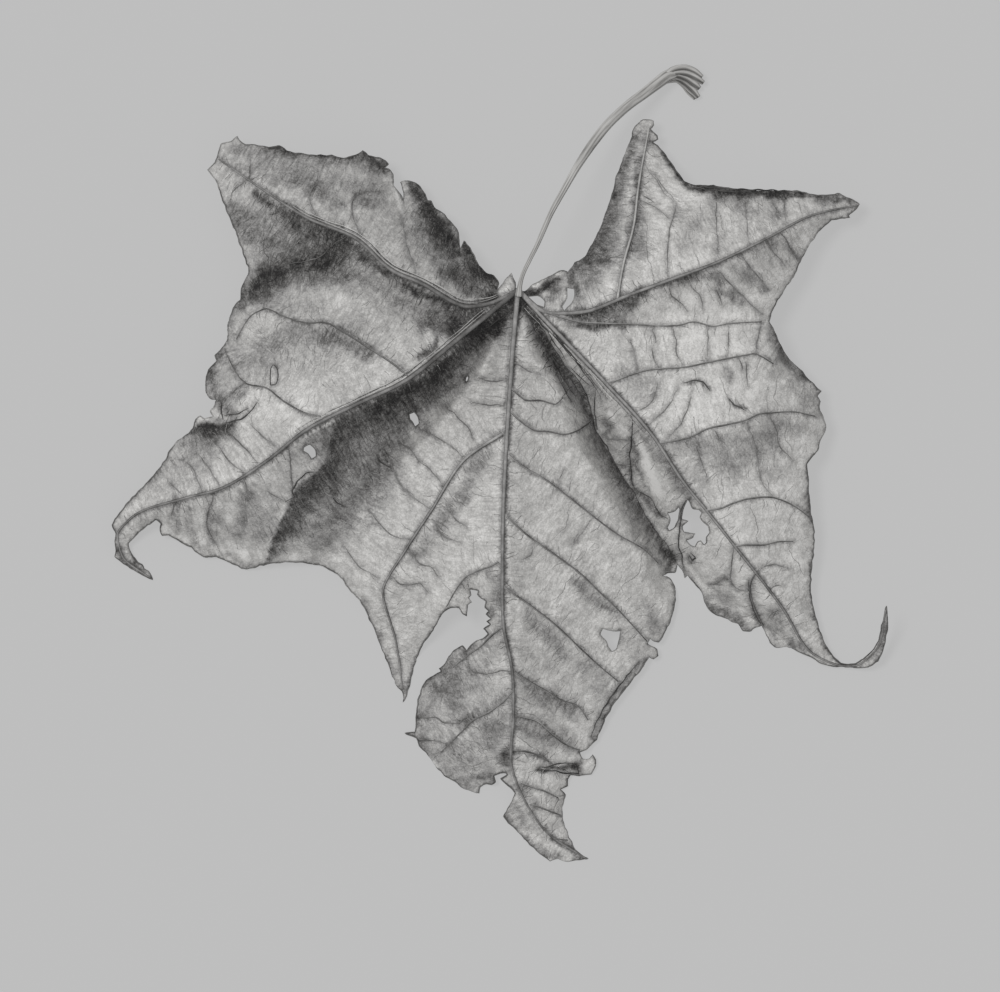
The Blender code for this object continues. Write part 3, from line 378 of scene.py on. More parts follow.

# Dark marks, as strength and a line of plan points with the half width at each. They are partly real stains
# and partly painted shade: in the valleys of the folds, under the veins' ridges and under rolled edges.
STAINS_AND_SHADE = [
    # upper left lobe
    (0.45, [(-14, 3, 2.2), (-10, 0, 1.8), (-7, -1.6, 1.4), (-4.5, -1.6, 0.9)]),
    (0.1, [(-55, 23, 3), (-47, 20, 3), (-41, 24, 3)]),
    (0.2, [(-54, -1, 1.6), (-47, -3, 2), (-40, -3.5, 2)]),
    (0.12, [(21, 6, 2.2), (26, 9, 2.5)]),
    (0.3, [(29.5, 1.2, 0.8), (33, 2, 1), (36, 2.2, 1)]),
    (0.6, [(-50, 28.2, 0.6), (-46, 27.6, 0.9), (-42, 27, 1), (-36, 26.6, 1), (-33, 26.6, 1)]),
    (0.65, [(-32, 27, 1), (-30.5, 26.3, 1.6), (-28.5, 25.2, 1.8), (-26.5, 24.6, 1.3)]),
    (0.3, [(-56, 28.3, 1.1), (-50, 27.6, 1.4), (-42, 26.6, 1.4), (-34, 25.8, 1.4), (-30, 24.8, 1.4)]),
    (0.2, [(-47.5, 22, 1.8), (-42, 20, 1.8)]),
    (0.2, [(-52, 16, 2), (-49, 14, 2)]),
    (0.35, [(-50, 0.7, 1.5), (-45, 1.8, 1.8), (-39, 1.5, 1.8), (-35, 2.2, 1.4)]),
    (0.25, [(-50, 25, 2.5), (-44, 23.5, 3), (-38, 22, 3.5), (-33, 20.5, 3.5), (-29, 20, 3)]),
    (0.3, [(-40, 19.5, 1.5), (-37, 17.5, 1.5), (-36, 16.5, 1)]),
    (0.3, [(-32, 17.8, 1.3), (-29.5, 17, 1.3)]),
    (0.12, [(-58, 26, 2.5), (-54, 23.5, 2.5)]),
    (0.5, [(-20.4, 20.8, 1.2), (-17.4, 16.8, 1.4), (-14.8, 13, 1.4), (-13.3, 10.5, 1.2)]),
    (0.5, [(-10.6, 9.3, 1), (-8.6, 6.8, 1.4), (-6.4, 4.2, 1.4), (-4.6, 2, 1)]),
    (0.7, [(-21.8, 20.6, 0.9), (-20, 18.5, 1.3), (-18, 15, 1.5), (-16, 12.3, 1.6), (-14.3, 9.5, 1.5),
           (-12.8, 7, 1)]),
    (0.75, [(-11, 8.7, 1), (-9.5, 6.3, 1.6), (-7.5, 3.8, 1.8), (-5.5, 1.8, 1.5), (-4.3, 0.5, 1)]),
    (0.5, [(-19, 14, 3), (-16, 9, 3), (-12, 4.5, 3), (-8, 0.5, 2.5), (-5, -1.5, 1.5)]),
    (0.3, [(-50, 4, 2.5), (-44, 5.5, 2.5), (-38, 4.5, 2)]),
    (0.25, [(-40, 13.5, 1.4), (-35, 11.5, 1.4)]),
    (0.12, [(-26, 15, 4), (-20, 8, 4)]),
    (0.66, [(-52, 19.5, 0.8), (-48, 16.2, 1.5), (-44, 13.6, 1.8), (-39, 11.5, 1.8), (-35, 9.8, 1.6),
            (-31, 7.3, 1.2), (-26, 3.8, 1), (-20, -0.2, 0.9), (-14, -3.2, 0.9), (-8, -4.4, 0.9)]),
    (0.43, [(-56, 16, 2.5), (-53, 11, 4), (-48, 9.5, 4), (-42, 9, 3.5), (-36, 6.5, 3)]),
    (0.66, [(-55, -0.8, 2.2), (-52, 0.5, 2.8), (-48.5, 3, 2.8), (-44, 4.8, 2.3), (-39, 5.6, 2),
            (-35, 7.5, 1.6)]),
    (0.33, [(-33, 3, 3), (-27, 0, 3.5), (-20, -4, 3), (-13, -6, 2.6), (-8, -5.6, 1.5)]),
    (0.3, [(-20, -6.5, 1.5), (-16, -7.5, 1.8), (-12, -6.5, 1.5)]),
    (0.35, [(-56, -3, 1.2), (-58.5, -8, 1.2), (-60, -12, 1)]),
    # left lobe
    (0.2, [(-60, -12, 1.5), (-60.5, -18, 1.5)]),
    (0.14, [(-47, -12, 5), (-38, -13.5, 5), (-32, -8, 4)]),
    (0.4, [(-59.8, -23.3, 1.1), (-57.2, -25, 0.9)]),
    (0.22, [(-57, -10, 3), (-55, -16, 3), (-50, -12, 4), (-44, -9, 3), (-38, -9.5, 2.5)]),
    (0.35, [(-38, -9.5, 1.6), (-34, -10.5, 2), (-30, -13, 1.5)]),
    (0.4, [(-61, -14, 1), (-61, -18, 1.5), (-60, -21, 1.2)]),
    (0.3, [(-60, -22.5, 1.2), (-57.5, -22, 1.8), (-55, -20.5, 1.2)]),
    (0.85, [(-64, -27.8, 1), (-61, -28.4, 1.3), (-58.5, -27.8, 1.2), (-57, -27, 0.9)]),
    (0.35, [(-66, -30, 1.3), (-62, -30.5, 2), (-57, -29.5, 1.5)]),
    (0.28, [(-70, -34, 1.3), (-74, -38, 1.2), (-78, -42.5, 1)]),
    (0.15, [(-72, -38, 4), (-64, -34, 4)]),
    (0.3, [(-68, -42, 0.8), (-68.5, -48, 0.9)]),
    (0.25, [(-66, -43, 0.6), (-65.8, -49, 0.8)]),
    (0.3, [(-54.5, -40.5, 0.8), (-54.8, -46, 1)]),
    (0.2, [(-62, -44, 1), (-61, -50, 1.2)]),
    (0.25, [(-59, -46, 2), (-56, -48, 2)]),
    (0.22, [(-53.5, -41, 1.5), (-52, -46, 1.8), (-51, -50, 1.6)]),
    (0.2, [(-49, -44, 1.5), (-48.5, -48, 1.5)]),
    (0.3, [(-65, -50.5, 0.8), (-60, -53, 0.9), (-54, -54.5, 0.9), (-51, -53.5, 1.2)]),
    (0.45, [(-79.5, -52.3, 1), (-77.5, -54.5, 0.9), (-75, -56.6, 0.6)]),
    (0.16, [(-24, -25, 3), (-28, -29, 4.5)]),
    (0.3, [(-26, -31, 3), (-28, -36, 4), (-31, -41.5, 4.5), (-36, -47, 4), (-40, -51, 2.5)]),
    (0.3, [(-36.5, -30, 0.5), (-36.9, -36, 0.5), (-36.7, -41, 0.5)]),
    # round the joint and left of the midrib
    (0.4, [(-8, -5, 1.2), (-12, -6, 2.2), (-16, -7, 2.2), (-19, -8, 1.5)]),
    (0.5, [(-16.2, -10, 0.5), (-17.2, -12, 0.5), (-20, -14, 0.4)]),
    (0.5, [(-1.5, -2, 1), (-2.5, -5, 1.4), (-4, -8, 1.2)]),
    (0.3, [(-6.5, -33, 1.6), (-8.5, -36, 1.8)]),
    (0.3, [(-10, -39, 1.5), (-13.5, -43.5, 1.8), (-16, -47, 1.6)]),
    (0.22, [(-18, -50, 1.5), (-21, -54, 1.5)]),
    (0.3, [(-5.5, -56.5, 1.5), (-4, -60, 1.2), (-5, -65, 1)]),
    (0.5, [(1, -1.5, 0.8), (2.2, -4.5, 1), (4, -8, 1.2), (6.5, -13, 1.5), (9, -17, 1.5)]),
    (0.6, [(-3, -3.5, 1.6), (-6, -7, 2), (-9, -10, 2)]),
    (0.35, [(-5, -2.9, 0.9), (-9, -5, 1.4), (-13, -7.5, 1.8)]),
    (0.85, [(29.6, -51.6, 1.1), (30.4, -53.5, 1.4), (30, -56, 1)]),
    (0.3, [(-31, -62, 0.6), (-28.5, -68, 0.8), (-26, -74, 0.8), (-24, -79, 0.9)]),
    (0.4, [(-19, -71.5, 0.5), (-21, -76, 0.6), (-22.3, -80.5, 0.6)]),
    # upper right lobe and its folded ear
    (0.43, [(10.5, 3, 1.2), (13, 5, 1.4), (15.3, 8, 1.6), (17, 11.5, 1.7), (18, 15, 1.6),
            (19.6, 19, 1.4), (20.8, 23, 1.1), (22, 27, 0.9), (23.6, 31, 0.9)]),
    (0.3, [(12, 1, 2), (14.5, 3, 2.2), (17, 7, 2.2)]),
    (0.28, [(15, 3, 2), (18, 9, 2), (20.5, 15, 1.6), (22, 21, 1.3), (23.5, 28, 1)]),
    (0.25, [(25, 32.5, 1.8), (25.5, 30, 1.4)]),
    (0.2, [(14.5, 7, 1.6), (17.5, 12, 1.8), (19.5, 17, 1.6), (21.5, 24, 1.2)]),
    (0.5, [(24.7, 26, 0.5), (24.1, 20, 0.6), (23.6, 15, 0.7), (22.7, 10, 0.7), (21.7, 6, 0.5)]),
    (0.8, [(1.6, -0.6, 0.4), (4, -0.2, 0.6), (6.5, 0.8, 0.7), (8, 2, 0.6)]),
    (0.35, [(6.5, -2.5, 1), (7.5, 0, 1)]),
    (0.3, [(7, 2, 1.5), (8.5, 0.5, 1.2), (8, -2, 1.2)]),
    (0.35, [(11, 1.5, 1), (12.5, -1, 1.2), (12.5, -3.5, 1)]),
    (0.6, [(10, -4.9, 0.6), (14, -5, 1), (18, -4, 1.3), (22, -2.4, 1.3), (25.5, -0.3, 1)]),
    (0.36, [(12, -6, 1.5), (20, -6, 2)]),
    (0.15, [(22, -17, 3), (27, -21, 3)]),
    (0.28, [(24.6, 22, 1.2), (24.6, 15, 1.4), (24, 8, 1.4)]),
    (0.2, [(45, 16, 2), (48, 14, 2)]),
    (0.6, [(12.5, -7.2, 0.6), (16, -7.4, 0.8), (20.5, -7.2, 0.6)]),
    (0.4, [(32, 2.2, 0.9), (36, 3, 1.2), (39.5, 3, 1.2), (41, 0.5, 1), (44, -2.5, 0.7)]),
    (0.2, [(32, 15.5, 2.2), (36, 12.5, 2.4), (33.5, 9, 2)]),
    (0.15, [(38, 15, 2), (42, 11, 2), (40, 8, 2)]),
    (0.9, [(29, 27, 0.35), (31.5, 23.5, 0.5), (34, 21.1, 0.7), (37, 20, 0.9), (41, 19.7, 1),
           (46, 19.3, 0.9), (52, 19.1, 0.8), (57, 19, 0.6)]),
    (0.6, [(58, 18.7, 0.5), (60, 18.4, 0.5), (63, 18.4, 0.7), (66, 17.4, 0.5)]),
    (0.3, [(40, 18.5, 1.5), (46, 18, 1.5)]),
    (0.35, [(50.5, 18, 1.3), (51.5, 14.5, 1.3)]),
    (0.4, [(60, 17.5, 0.8), (63.5, 17.6, 0.9)]),
    (0.25, [(48, 8.5, 1.5), (52, 9, 1.5), (55, 7, 1.5)]),
    (0.25, [(42, 5, 1.2), (46, 3, 1.5), (49, 0, 1.2)]),
    # right lobe
    (0.5, [(50.6, -7, 0.8), (51, -10, 1.2), (52.3, -12.8, 1), (54.5, -15, 0.7), (57, -17.5, 0.7),
           (59.5, -19.8, 0.6)]),
    (0.2, [(54, -17, 2), (58, -22, 2)]),
    (0.2, [(52.5, -26.5, 1.5), (55.5, -27.3, 1.6)]),
    (0.25, [(34, -31, 3), (39, -31.5, 4), (45, -31, 4), (50, -29.5, 3)]),
    (0.12, [(30.5, -35, 2), (34.5, -39, 2.2), (39, -41, 2)]),
    (0.1, [(50, -32, 2.5), (51, -37, 2.5)]),
    (0.16, [(37, -36, 2.5), (44, -36.5, 3), (48, -34, 3)]),
    (0.15, [(39.5, -28.5, 0.8), (42, -33.5, 1), (44, -38, 0.8)]),
    (0.3, [(41.6, -15.8, 0.8), (42.3, -17.8, 0.9)]),
    (0.4, [(33.5, -18.6, 0.3), (36.5, -18.2, 0.4), (38.2, -19.8, 0.3)]),
    (0.5, [(41.8, -21.8, 0.3), (43.3, -23, 0.4), (45.4, -24, 0.3)]),
    (0.3, [(57.7, -36, 0.5), (57.9, -42, 0.5), (58.6, -47, 0.5)]),
    # the flap beside the crease
    (0.5, [(23.1, -30, 0.4), (23.6, -33.3, 0.7), (24.2, -35.5, 0.5)]),
    (0.35, [(22.7, -33, 0.4), (22.8, -37, 0.4), (23.4, -40, 0.4)]),
    (0.3, [(25, -36, 0.4), (26, -39.5, 0.4)]),
    (0.5, [(24, -40.2, 0.4), (26.3, -41.7, 0.7), (27.5, -43.5, 0.5), (29.5, -45.8, 0.3)]),
    (0.3, [(24.5, -27.5, 1), (28.5, -33, 1.2), (31.5, -37.5, 1.3), (33, -40.5, 0.8)]),
    (0.08, [(20.5, -29, 2), (23, -35, 2), (26, -42, 2)]),
    (0.4, [(17.5, -26, 0.8), (19, -27.3, 0.7), (18, -29, 0.8)]),
    (0.1, [(19, -31, 1.5), (21.5, -35, 1.5)]),
    # right lobe, its lower end
    (0.45, [(36.6, -60.5, 0.9), (38.3, -63.3, 1.1), (41, -64.4, 1.1), (44, -65.8, 1), (45.8, -67, 1.2)]),
    (0.3, [(40, -60.5, 1.5), (42, -62.5, 1.3)]),
    (0.4, [(50, -67.2, 0.8), (51.3, -70, 0.9)]),
    (0.3, [(51, -64, 1.1), (52.5, -67, 1.3)]),
    (0.45, [(54.5, -70.5, 0.9), (57.3, -71.6, 0.8)]),
    (0.25, [(46.6, -59, 0.6), (47.6, -63, 0.8), (49, -66.5, 0.8)]),
    (0.35, [(38.6, -58.9, 0.4), (41.5, -58, 0.6), (43.5, -59.4, 0.4)]),
    (0.22, [(69, -74.6, 1), (72, -72.2, 1.1), (73.2, -68, 0.7)]),
    (0.4, [(34.3, -53.2, 0.6), (35.2, -54, 0.5)]),
    (0.35, [(33, -55.5, 0.8), (34.5, -57.5, 0.7)]),
    (0.45, [(58.7, -52, 0.35), (58.5, -60, 0.35), (59.5, -66, 0.35), (61, -70.5, 0.35),
            (63.5, -73.5, 0.35), (66, -75, 0.35)]),
    # centre lobe, its lower end
    (0.4, [(-18, -78, 3.5), (-14.5, -79.5, 4), (-13, -82, 2.5)]),
    (0.25, [(-11, -76, 2.5), (-8, -79, 2.5)]),
    (0.38, [(-16, -75, 2), (-12.5, -73.2, 2), (-9, -71.3, 1.5)]),
    (0.28, [(-12, -87, 1), (-8, -84.3, 1.5), (-3, -81, 1.4)]),
    (0.15, [(-7, -91, 2.2), (-4, -88, 2.2), (-2, -85, 1.6)]),
    (0.6, [(-3, -94.3, 1.1), (-1.8, -92, 0.8)]),
    (0.4, [(-12, -98, 1), (-8.5, -97.2, 1.2), (-5.3, -96.8, 1)]),
    (0.28, [(-19.8, -84, 1), (-19.6, -90, 1), (-15.5, -95.5, 0.9), (-9.5, -99, 0.8)]),
    (0.22, [(-16, -91.5, 2.2), (-12, -94, 2)]),
    (0.33, [(1.2, -87, 1.5), (4.5, -88.6, 2.6), (9, -90.5, 2)]),
    (0.2, [(-3.5, -70, 1.8), (-7, -75, 2.2)]),
    (0.15, [(-18.5, -84, 2), (-17, -88, 2)]),
    (0.2, [(-12.5, -91, 2.5), (-8, -95, 2.5)]),
    (0.2, [(14, -75, 2.4), (17, -79, 1.8)]),
    (0.14, [(22, -69, 2.5), (24, -73, 2)]),
    (0.37, [(2.5, -80, 1.3), (6, -82, 2.2), (11, -84, 1.5)]),
    (0.22, [(-9, -86, 3), (-5, -88, 4), (-4, -92, 3)]),
    (0.1, [(0, -70, 1.5), (3, -74, 2.5), (1, -84, 1.5)]),
    (0.33, [(4, -67.5, 1.6), (7.5, -70.5, 1.8), (9, -73, 1.5)]),
    (0.25, [(1.5, -65.3, 1), (4, -66, 1)]),
    (0.33, [(11, -58, 1.3), (14.5, -61, 1.5), (17, -63.2, 1.2)]),
    (0.28, [(17.5, -62.5, 1), (19.5, -65.5, 1.2)]),
    (0.28, [(26, -64, 1.5), (28, -67.5, 1.5)]),
    (0.8, [(3.6, -95.6, 0.25), (9, -95.8, 0.4), (11.8, -95.2, 0.8)]),
    (0.26, [(25.2, -73.8, 0.6), (22.7, -76.8, 0.7), (19.2, -81.3, 0.7), (16.9, -85.4, 0.7),
            (15, -89.8, 0.6)]),
    (0.4, [(-2.5, -105, 0.7), (0.5, -109, 0.8), (4.5, -112.8, 0.8), (8, -113.9, 0.7)]),
    (0.55, [(7, -109.3, 0.5), (10, -111.8, 0.8), (12.7, -113.6, 0.7)]),
    (0.25, [(-0.8, -103, 1.3), (2, -107, 1.5)]),
    (0.25, [(1, -99, 1), (3.2, -103, 1)]),
    (0.3, [(1.5, -92.5, 0.5), (5.5, -93.5, 0.6)]),
]

# Painted shade with one crisp edge, in the valleys of the folds beside the left vein and along the centre
# crease: each lies only to the left of its line, as one walks along it.
FOLD_SHADE = [
    (0.65, [(-2, -2.2, 2.8), (-6, -5.8, 3.6), (-10, -9.3, 4.4), (-15, -14, 5), (-19, -17.3, 5.4),
            (-24, -20.2, 5.5), (-28, -22, 4)]),
    (0.46, [(-17, -15.6, 5), (-19, -17.3, 6), (-24, -20.2, 8), (-30, -22.8, 10), (-36, -25.8, 10)]),
    (0.4, [(-36.8, -27.5, 5), (-38.2, -33, 8), (-40.2, -36.6, 9), (-43.6, -39, 8), (-45.6, -42.5, 7),
           (-47.6, -47, 5), (-49.6, -51.8, 3)]),
    (0.5, [(-38.5, -35, 2), (-40.5, -36.8, 4), (-43.6, -39, 5), (-45.6, -42.5, 4.5), (-47.6, -47, 3.5),
           (-49.6, -51.8, 2)]),
    (0.46, [(30.5, -53, 1.8), (27.8, -48.5, 2.4), (25.4, -44.8, 2.4), (23.2, -41, 2.4),
            (20.8, -37.5, 2.2), (18.8, -34, 2), (17, -31, 1.8), (15.4, -28, 1.6), (14.7, -25, 1.6),
            (13.8, -21.8, 2.2), (12.3, -18.6, 2.2), (9.4, -15, 1.5), (6.8, -11.4, 1.4), (4.2, -7, 1.2),
            (1.4, -2, 0.8)]),
    (0.16, [(29, -50.5, 3), (23.2, -41, 5), (17, -31, 4.5), (13.8, -21.8, 4), (6.8, -11.4, 4),
            (1.4, -2, 1.5)]),
]

# Pale places, listed as the stains are: partly rubbed or bleached tissue, and partly painted light, as
# highlights on folded and torn edges and on ridges, and as a lightening of curls and slopes that face away
# from the light.
PALE_AND_LIT = [
    (0.7, [(57, 10.8, 0.4), (57.8, 9.8, 0.5)]),
    (0.6, [(-9.8, -84, 0.35), (-9.2, -84.4, 0.3)]),
    (0.45, [(-72, -47.5, 1.5), (-66, -50.5, 1.5), (-60, -52.5, 1.5), (-53, -53.5, 1.8), (-45, -54, 1.8)]),
    (0.45, [(56, -72, 1), (62, -74.5, 0.8), (68, -75, 0.8), (72, -72, 0.8)]),
    (0.4, [(-48.8, -15.4, 0.5), (-49, -18.4, 0.5)]),
    (0.9, [(0.9, -5.5, 0.35), (1.2, -9, 0.3)]),
    (0.6, [(24.9, -30.6, 0.7), (26.5, -35.5, 0.9), (28.2, -40, 1)]),
    (0.6, [(29.8, -45.2, 0.8), (31.3, -47.5, 0.8)]),
    (0.8, [(13, -6.3, 0.3), (15.5, -6.4, 0.3)]),
    (0.8, [(16.8, -6, 0.3), (20, -6.1, 0.3)]),
    (0.8, [(18.5, -24.6, 0.5), (19.3, -25.3, 0.4)]),
    (0.15, [(13.8, -94.2, 0.6), (14.6, -95.6, 0.6)]),
    (0.7, [(3, 0.5, 0.4), (8, 3.1, 0.5)]),
    (0.6, [(-64, -25.6, 0.4), (-60, -26.8, 0.4), (-58, -26.6, 0.3)]),
    (0.6, [(-58, -45.5, 1), (-58, -46.5, 1)]),
    (0.5, [(9.1, 0.2, 0.35), (9.2, -1.5, 0.35)]),
    (0.5, [(-25, 21, 0.4), (-23.4, 15, 0.4)]),
    (0.2, [(26, 18, 7), (36, 6, 9), (40, -12, 9), (40, -32, 13), (46, -56, 9)]),
    (0.5, [(5.6, -6.8, 0.7), (9, -12, 1.1), (13, -17.2, 1.2)]),
]


def along(points, step):
    """Points no further apart than step, on the straight runs through an open list of points."""
    points = np.asarray(points, float)
    run = []
    for start, end in zip(points[:-1], points[1:]):
        count = max(1, math.ceil(np.linalg.norm((end - start)[:2]) / step))
        run += [start + (end - start) * i / count for i in range(count)]
    return np.array(run + [points[-1]])


def curve_through(points, step, closed):
    """A curve through the points. Its tangents fade out at sharp turns, so that torn corners stay sharp."""
    points = np.asarray(points, float)
    count = len(points)
    after = np.roll(points, -1, axis=0) - points
    before = np.roll(after, 1, axis=0)
    if not closed:
        before[0] = after[0]
        after[-1] = before[-1]
    heading_in = before / np.linalg.norm(before, axis=1)[:, None]
    heading_out = after / np.linalg.norm(after, axis=1)[:, None]
    straightness = np.clip((heading_in * heading_out).sum(axis=1), 0.0, 1.0)
    tangents = (heading_in + heading_out) / 2 * straightness[:, None]
    curve = []
    for i in range(count if closed else count - 1):
        start, end = points[i], points[(i + 1) % count]
        length = np.linalg.norm(end - start)
        pieces = max(1, round(length / step))
        for t in np.arange(pieces) / pieces:
            curve.append(
                (2 * t**3 - 3 * t**2 + 1) * start
                + (t**3 - 2 * t**2 + t) * tangents[i] * length
                + (3 * t**2 - 2 * t**3) * end
                + (t**3 - t**2) * tangents[(i + 1) % count] * length
            )
    return np.array(curve if closed else curve + [points[-1]])


def ragged(loop, rng, size):
    """The loop with a fine uneven tear along it."""
    push = rng.normal(0.0, size, (len(loop), 2))
    return loop + (push + np.roll(push, 1, axis=0)) / 2


def inside(points, loop):
    """True for each point that a closed loop goes round."""
    found = np.zeros(len(points), bool)
    for start, end in zip(loop, np.roll(loop, -1, axis=0)):
        crosses = (start[1] > points[:, 1]) != (end[1] > points[:, 1])
        rise = end[1] - start[1] if end[1] != start[1] else 1.0
        reach = start[0] + (points[:, 1] - start[1]) / rise * (end[0] - start[0])
        found ^= crosses & (points[:, 0] < reach)
    return found


def plan_tree(spots):
    """A search tree over the spots' places in plan."""
    tree = kdtree.KDTree(len(spots))
    for number, spot in enumerate(spots):
        tree.insert((spot[0], spot[1], 0.0), number)
    tree.balance()
    return tree


def nearest(points, tree):
    """For each point, which of the tree's spots is nearest to it in plan, and how far away that is."""
    found = [tree.find((x, y, 0.0)) for x, y in np.asarray(points)[:, :2].tolist()]
    return np.array([hit[1] for hit in found]), np.array([hit[2] for hit in found])


def rippled(points, size):
    """Smooth random ripples of about that size, from -1 to 1."""
    plan_spots = np.asarray(points)[:, :2].tolist()
    return np.array([noise.noise((x / size, y / size, size)) for x, y in plan_spots])


# A move so long that the ripples there have nothing to do with the ripples here.
ELSEWHERE = 40.0


def swayed(points, size):
    """Smooth random moves in plan, from -1 to 1 each way, that change over about that size."""
    return np.column_stack([rippled(points, size), rippled(points + ELSEWHERE, size)])


def fading(distance, reach):
    """1 at no distance, softly less within the reach, and almost nothing at twice the reach."""
    return np.exp(-((distance / reach) ** 2))


# The grids' spacings, and how often each spot of a grid settles between its neighbours.
RELIEF_STEPS = (8.0, 4.0, 2.0, 1.0, 0.5)
RELIEF_ROUNDS = 300
SOFTENING_ROUNDS = 8
FIRST_HEIGHT = 10.0
RELIEF_MARGIN = 8


class Relief:
    """The blade's height over its plan: a skin stretched between its ridges, folds and edges. It is worked
    out on square grids, each finer than the one before."""

    def __init__(self, lines, low, high):
        self.low = np.asarray(low, float)
        size = np.asarray(high, float) - self.low
        heights = np.full((4, 4), FIRST_HEIGHT)
        for step in RELIEF_STEPS:
            shape = tuple((np.ceil(size / step).astype(int) + 1).tolist())
            heights = self.stretched_to(heights, shape)
            fixed, values = self.pinned(lines, step, shape)
            for _ in range(RELIEF_ROUNDS):
                heights = np.where(fixed, values, self.mean_of_neighbours(heights))
        for _ in range(SOFTENING_ROUNDS):
            heights = 0.5 * heights + 0.5 * self.mean_of_neighbours(heights)
        self.heights = heights

    @staticmethod
    def stretched_to(heights, shape):
        """The heights of a coarse grid, spread over a finer one."""
        rows = np.linspace(0, heights.shape[0] - 1, shape[0]).round().astype(int)
        columns = np.linspace(0, heights.shape[1] - 1, shape[1]).round().astype(int)
        return heights[np.ix_(rows, columns)]

    def pinned(self, lines, step, shape):
        """Which of the grid's spots lie on a line, and the lines' mean height at each."""
        total = np.zeros(shape)
        count = np.zeros(shape)
        for line in lines:
            for spot in along(line, step / 2):
                cell = tuple(np.round((spot[:2] - self.low) / step).astype(int))
                total[cell] += spot[2]
                count[cell] += 1
        return count > 0, total / np.maximum(count, 1)

    @staticmethod
    def mean_of_neighbours(heights):
        padded = np.pad(heights, 1, mode="edge")
        return (padded[2:, 1:-1] + padded[:-2, 1:-1] + padded[1:-1, 2:] + padded[1:-1, :-2]) / 4

    def at(self, points):
        """The height at each point, evened out between the finest grid's four spots round it."""
        place = (np.asarray(points, float)[:, :2] - self.low) / RELIEF_STEPS[-1]
        cell = np.clip(np.floor(place).astype(int), 0, np.array(self.heights.shape) - 2)
        part = place - cell
        i, j = cell.T
        a, b = part.T
        across = self.heights[i, j] * (1 - a) + self.heights[i + 1, j] * a
        across_next = self.heights[i, j + 1] * (1 - a) + self.heights[i + 1, j + 1] * a
        return across * (1 - b) + across_next * b


# A vein's first points aren't looked for past the margin, because the joint lies on it.
JOINT_POINTS = 4
TAPER = 0.6
WAVER = 0.3
WAVER_SIZE = 1.8


def tapered(line, start_radius, end_radius):
    """Radii for a vein's points, thick where it leaves its parent and thin at its end."""
    share = np.linspace(0.0, 1.0, len(line))
    return start_radius + (end_radius - start_radius) * share**TAPER


def vein(points, radii):
    """A vein's line in plan, from the joint as far as the margin, and its radius at each point of it."""
    line = curve_through(points, VEIN_STEP, closed=False)
    outside = np.flatnonzero(~inside(line[JOINT_POINTS:], margin)) + JOINT_POINTS
    line = line[: outside[0]] if len(outside) else line
    return line, tapered(line, *radii)


def beside(line, gap):
    """The line moved sideways in plan, by one gap or by a gap for each point."""
    heading = np.gradient(line, axis=0)
    heading /= np.linalg.norm(heading, axis=1)[:, None]
    return line + np.column_stack([-heading[:, 1], heading[:, 0]]) * np.reshape(gap, (-1, 1))


def wavering(points):
    """A curve through the points, with the small waver of a strand that grew cell by cell."""
    line = curve_through(points, VEIN_STEP, closed=False)
    return line + WAVER * swayed(line, WAVER_SIZE)


rng = np.random.default_rng(7)
margin = ragged(curve_through(MARGIN, MARGIN_STEP, closed=True), rng, MARGIN_TEAR)
holes = [ragged(curve_through(hole, MARGIN_STEP, closed=True), rng, HOLE_TEAR) for hole in HOLES.values()]
loops = [margin, *holes]
hung_from = [*RIDGES.values(), *FOLDS.values(), *EDGES.values()]
relief = Relief(hung_from, margin.min(axis=0) - RELIEF_MARGIN, margin.max(axis=0) + RELIEF_MARGIN)
main_veins = [vein([spot[:2] for spot in RIDGES[name]], radii) for name, radii in MAIN_RADII.items()]
side_veins = [vein(points, SIDE_RADII) for points in SIDE_VEINS]
creases = [wavering(points) for points in CREASES]
drawn_rungs = [wavering(points) for points in RUNGS]
main_lines = [line for line, _ in main_veins]
side_lines = [line for line, _ in side_veins]
vein_spots = np.vstack(main_lines + side_lines)
vein_radii = np.hstack([radii for _, radii in main_veins + side_veins])
main_tree = plan_tree(np.vstack(main_lines))
side_tree = plan_tree(np.vstack(side_lines))
vein_tree = plan_tree(vein_spots)
rung_tree = plan_tree(np.vstack(drawn_rungs + creases))
edge_tree = plan_tree(np.vstack(loops))

# How far the tissue sags, dips and curls, and over what distance. A groove's depth is a share of its
# vein's radius, and the tissue puckers less where a vein holds it.
MAIN_SAG, MAIN_SAG_REACH = 0.5, 4.0
SIDE_SAG, SIDE_SAG_REACH = 0.45, 1.8
PUCKER, PUCKER_SIZE = 0.5, 6.0
FINE_PUCKER, FINE_PUCKER_SIZE = 0.22, 2.2
HELD_PUCKER, FREE_DISTANCE = 0.15, 2.0
GROOVE_DEPTH, GROOVE_WIDTH, GROOVE_GAP = 0.45, 0.3, 0.15
RUNG_DIP, RUNG_DIP_WIDTH = 0.2, 0.6
EDGE_CURL, EDGE_CURL_REACH = 0.7, 1.0


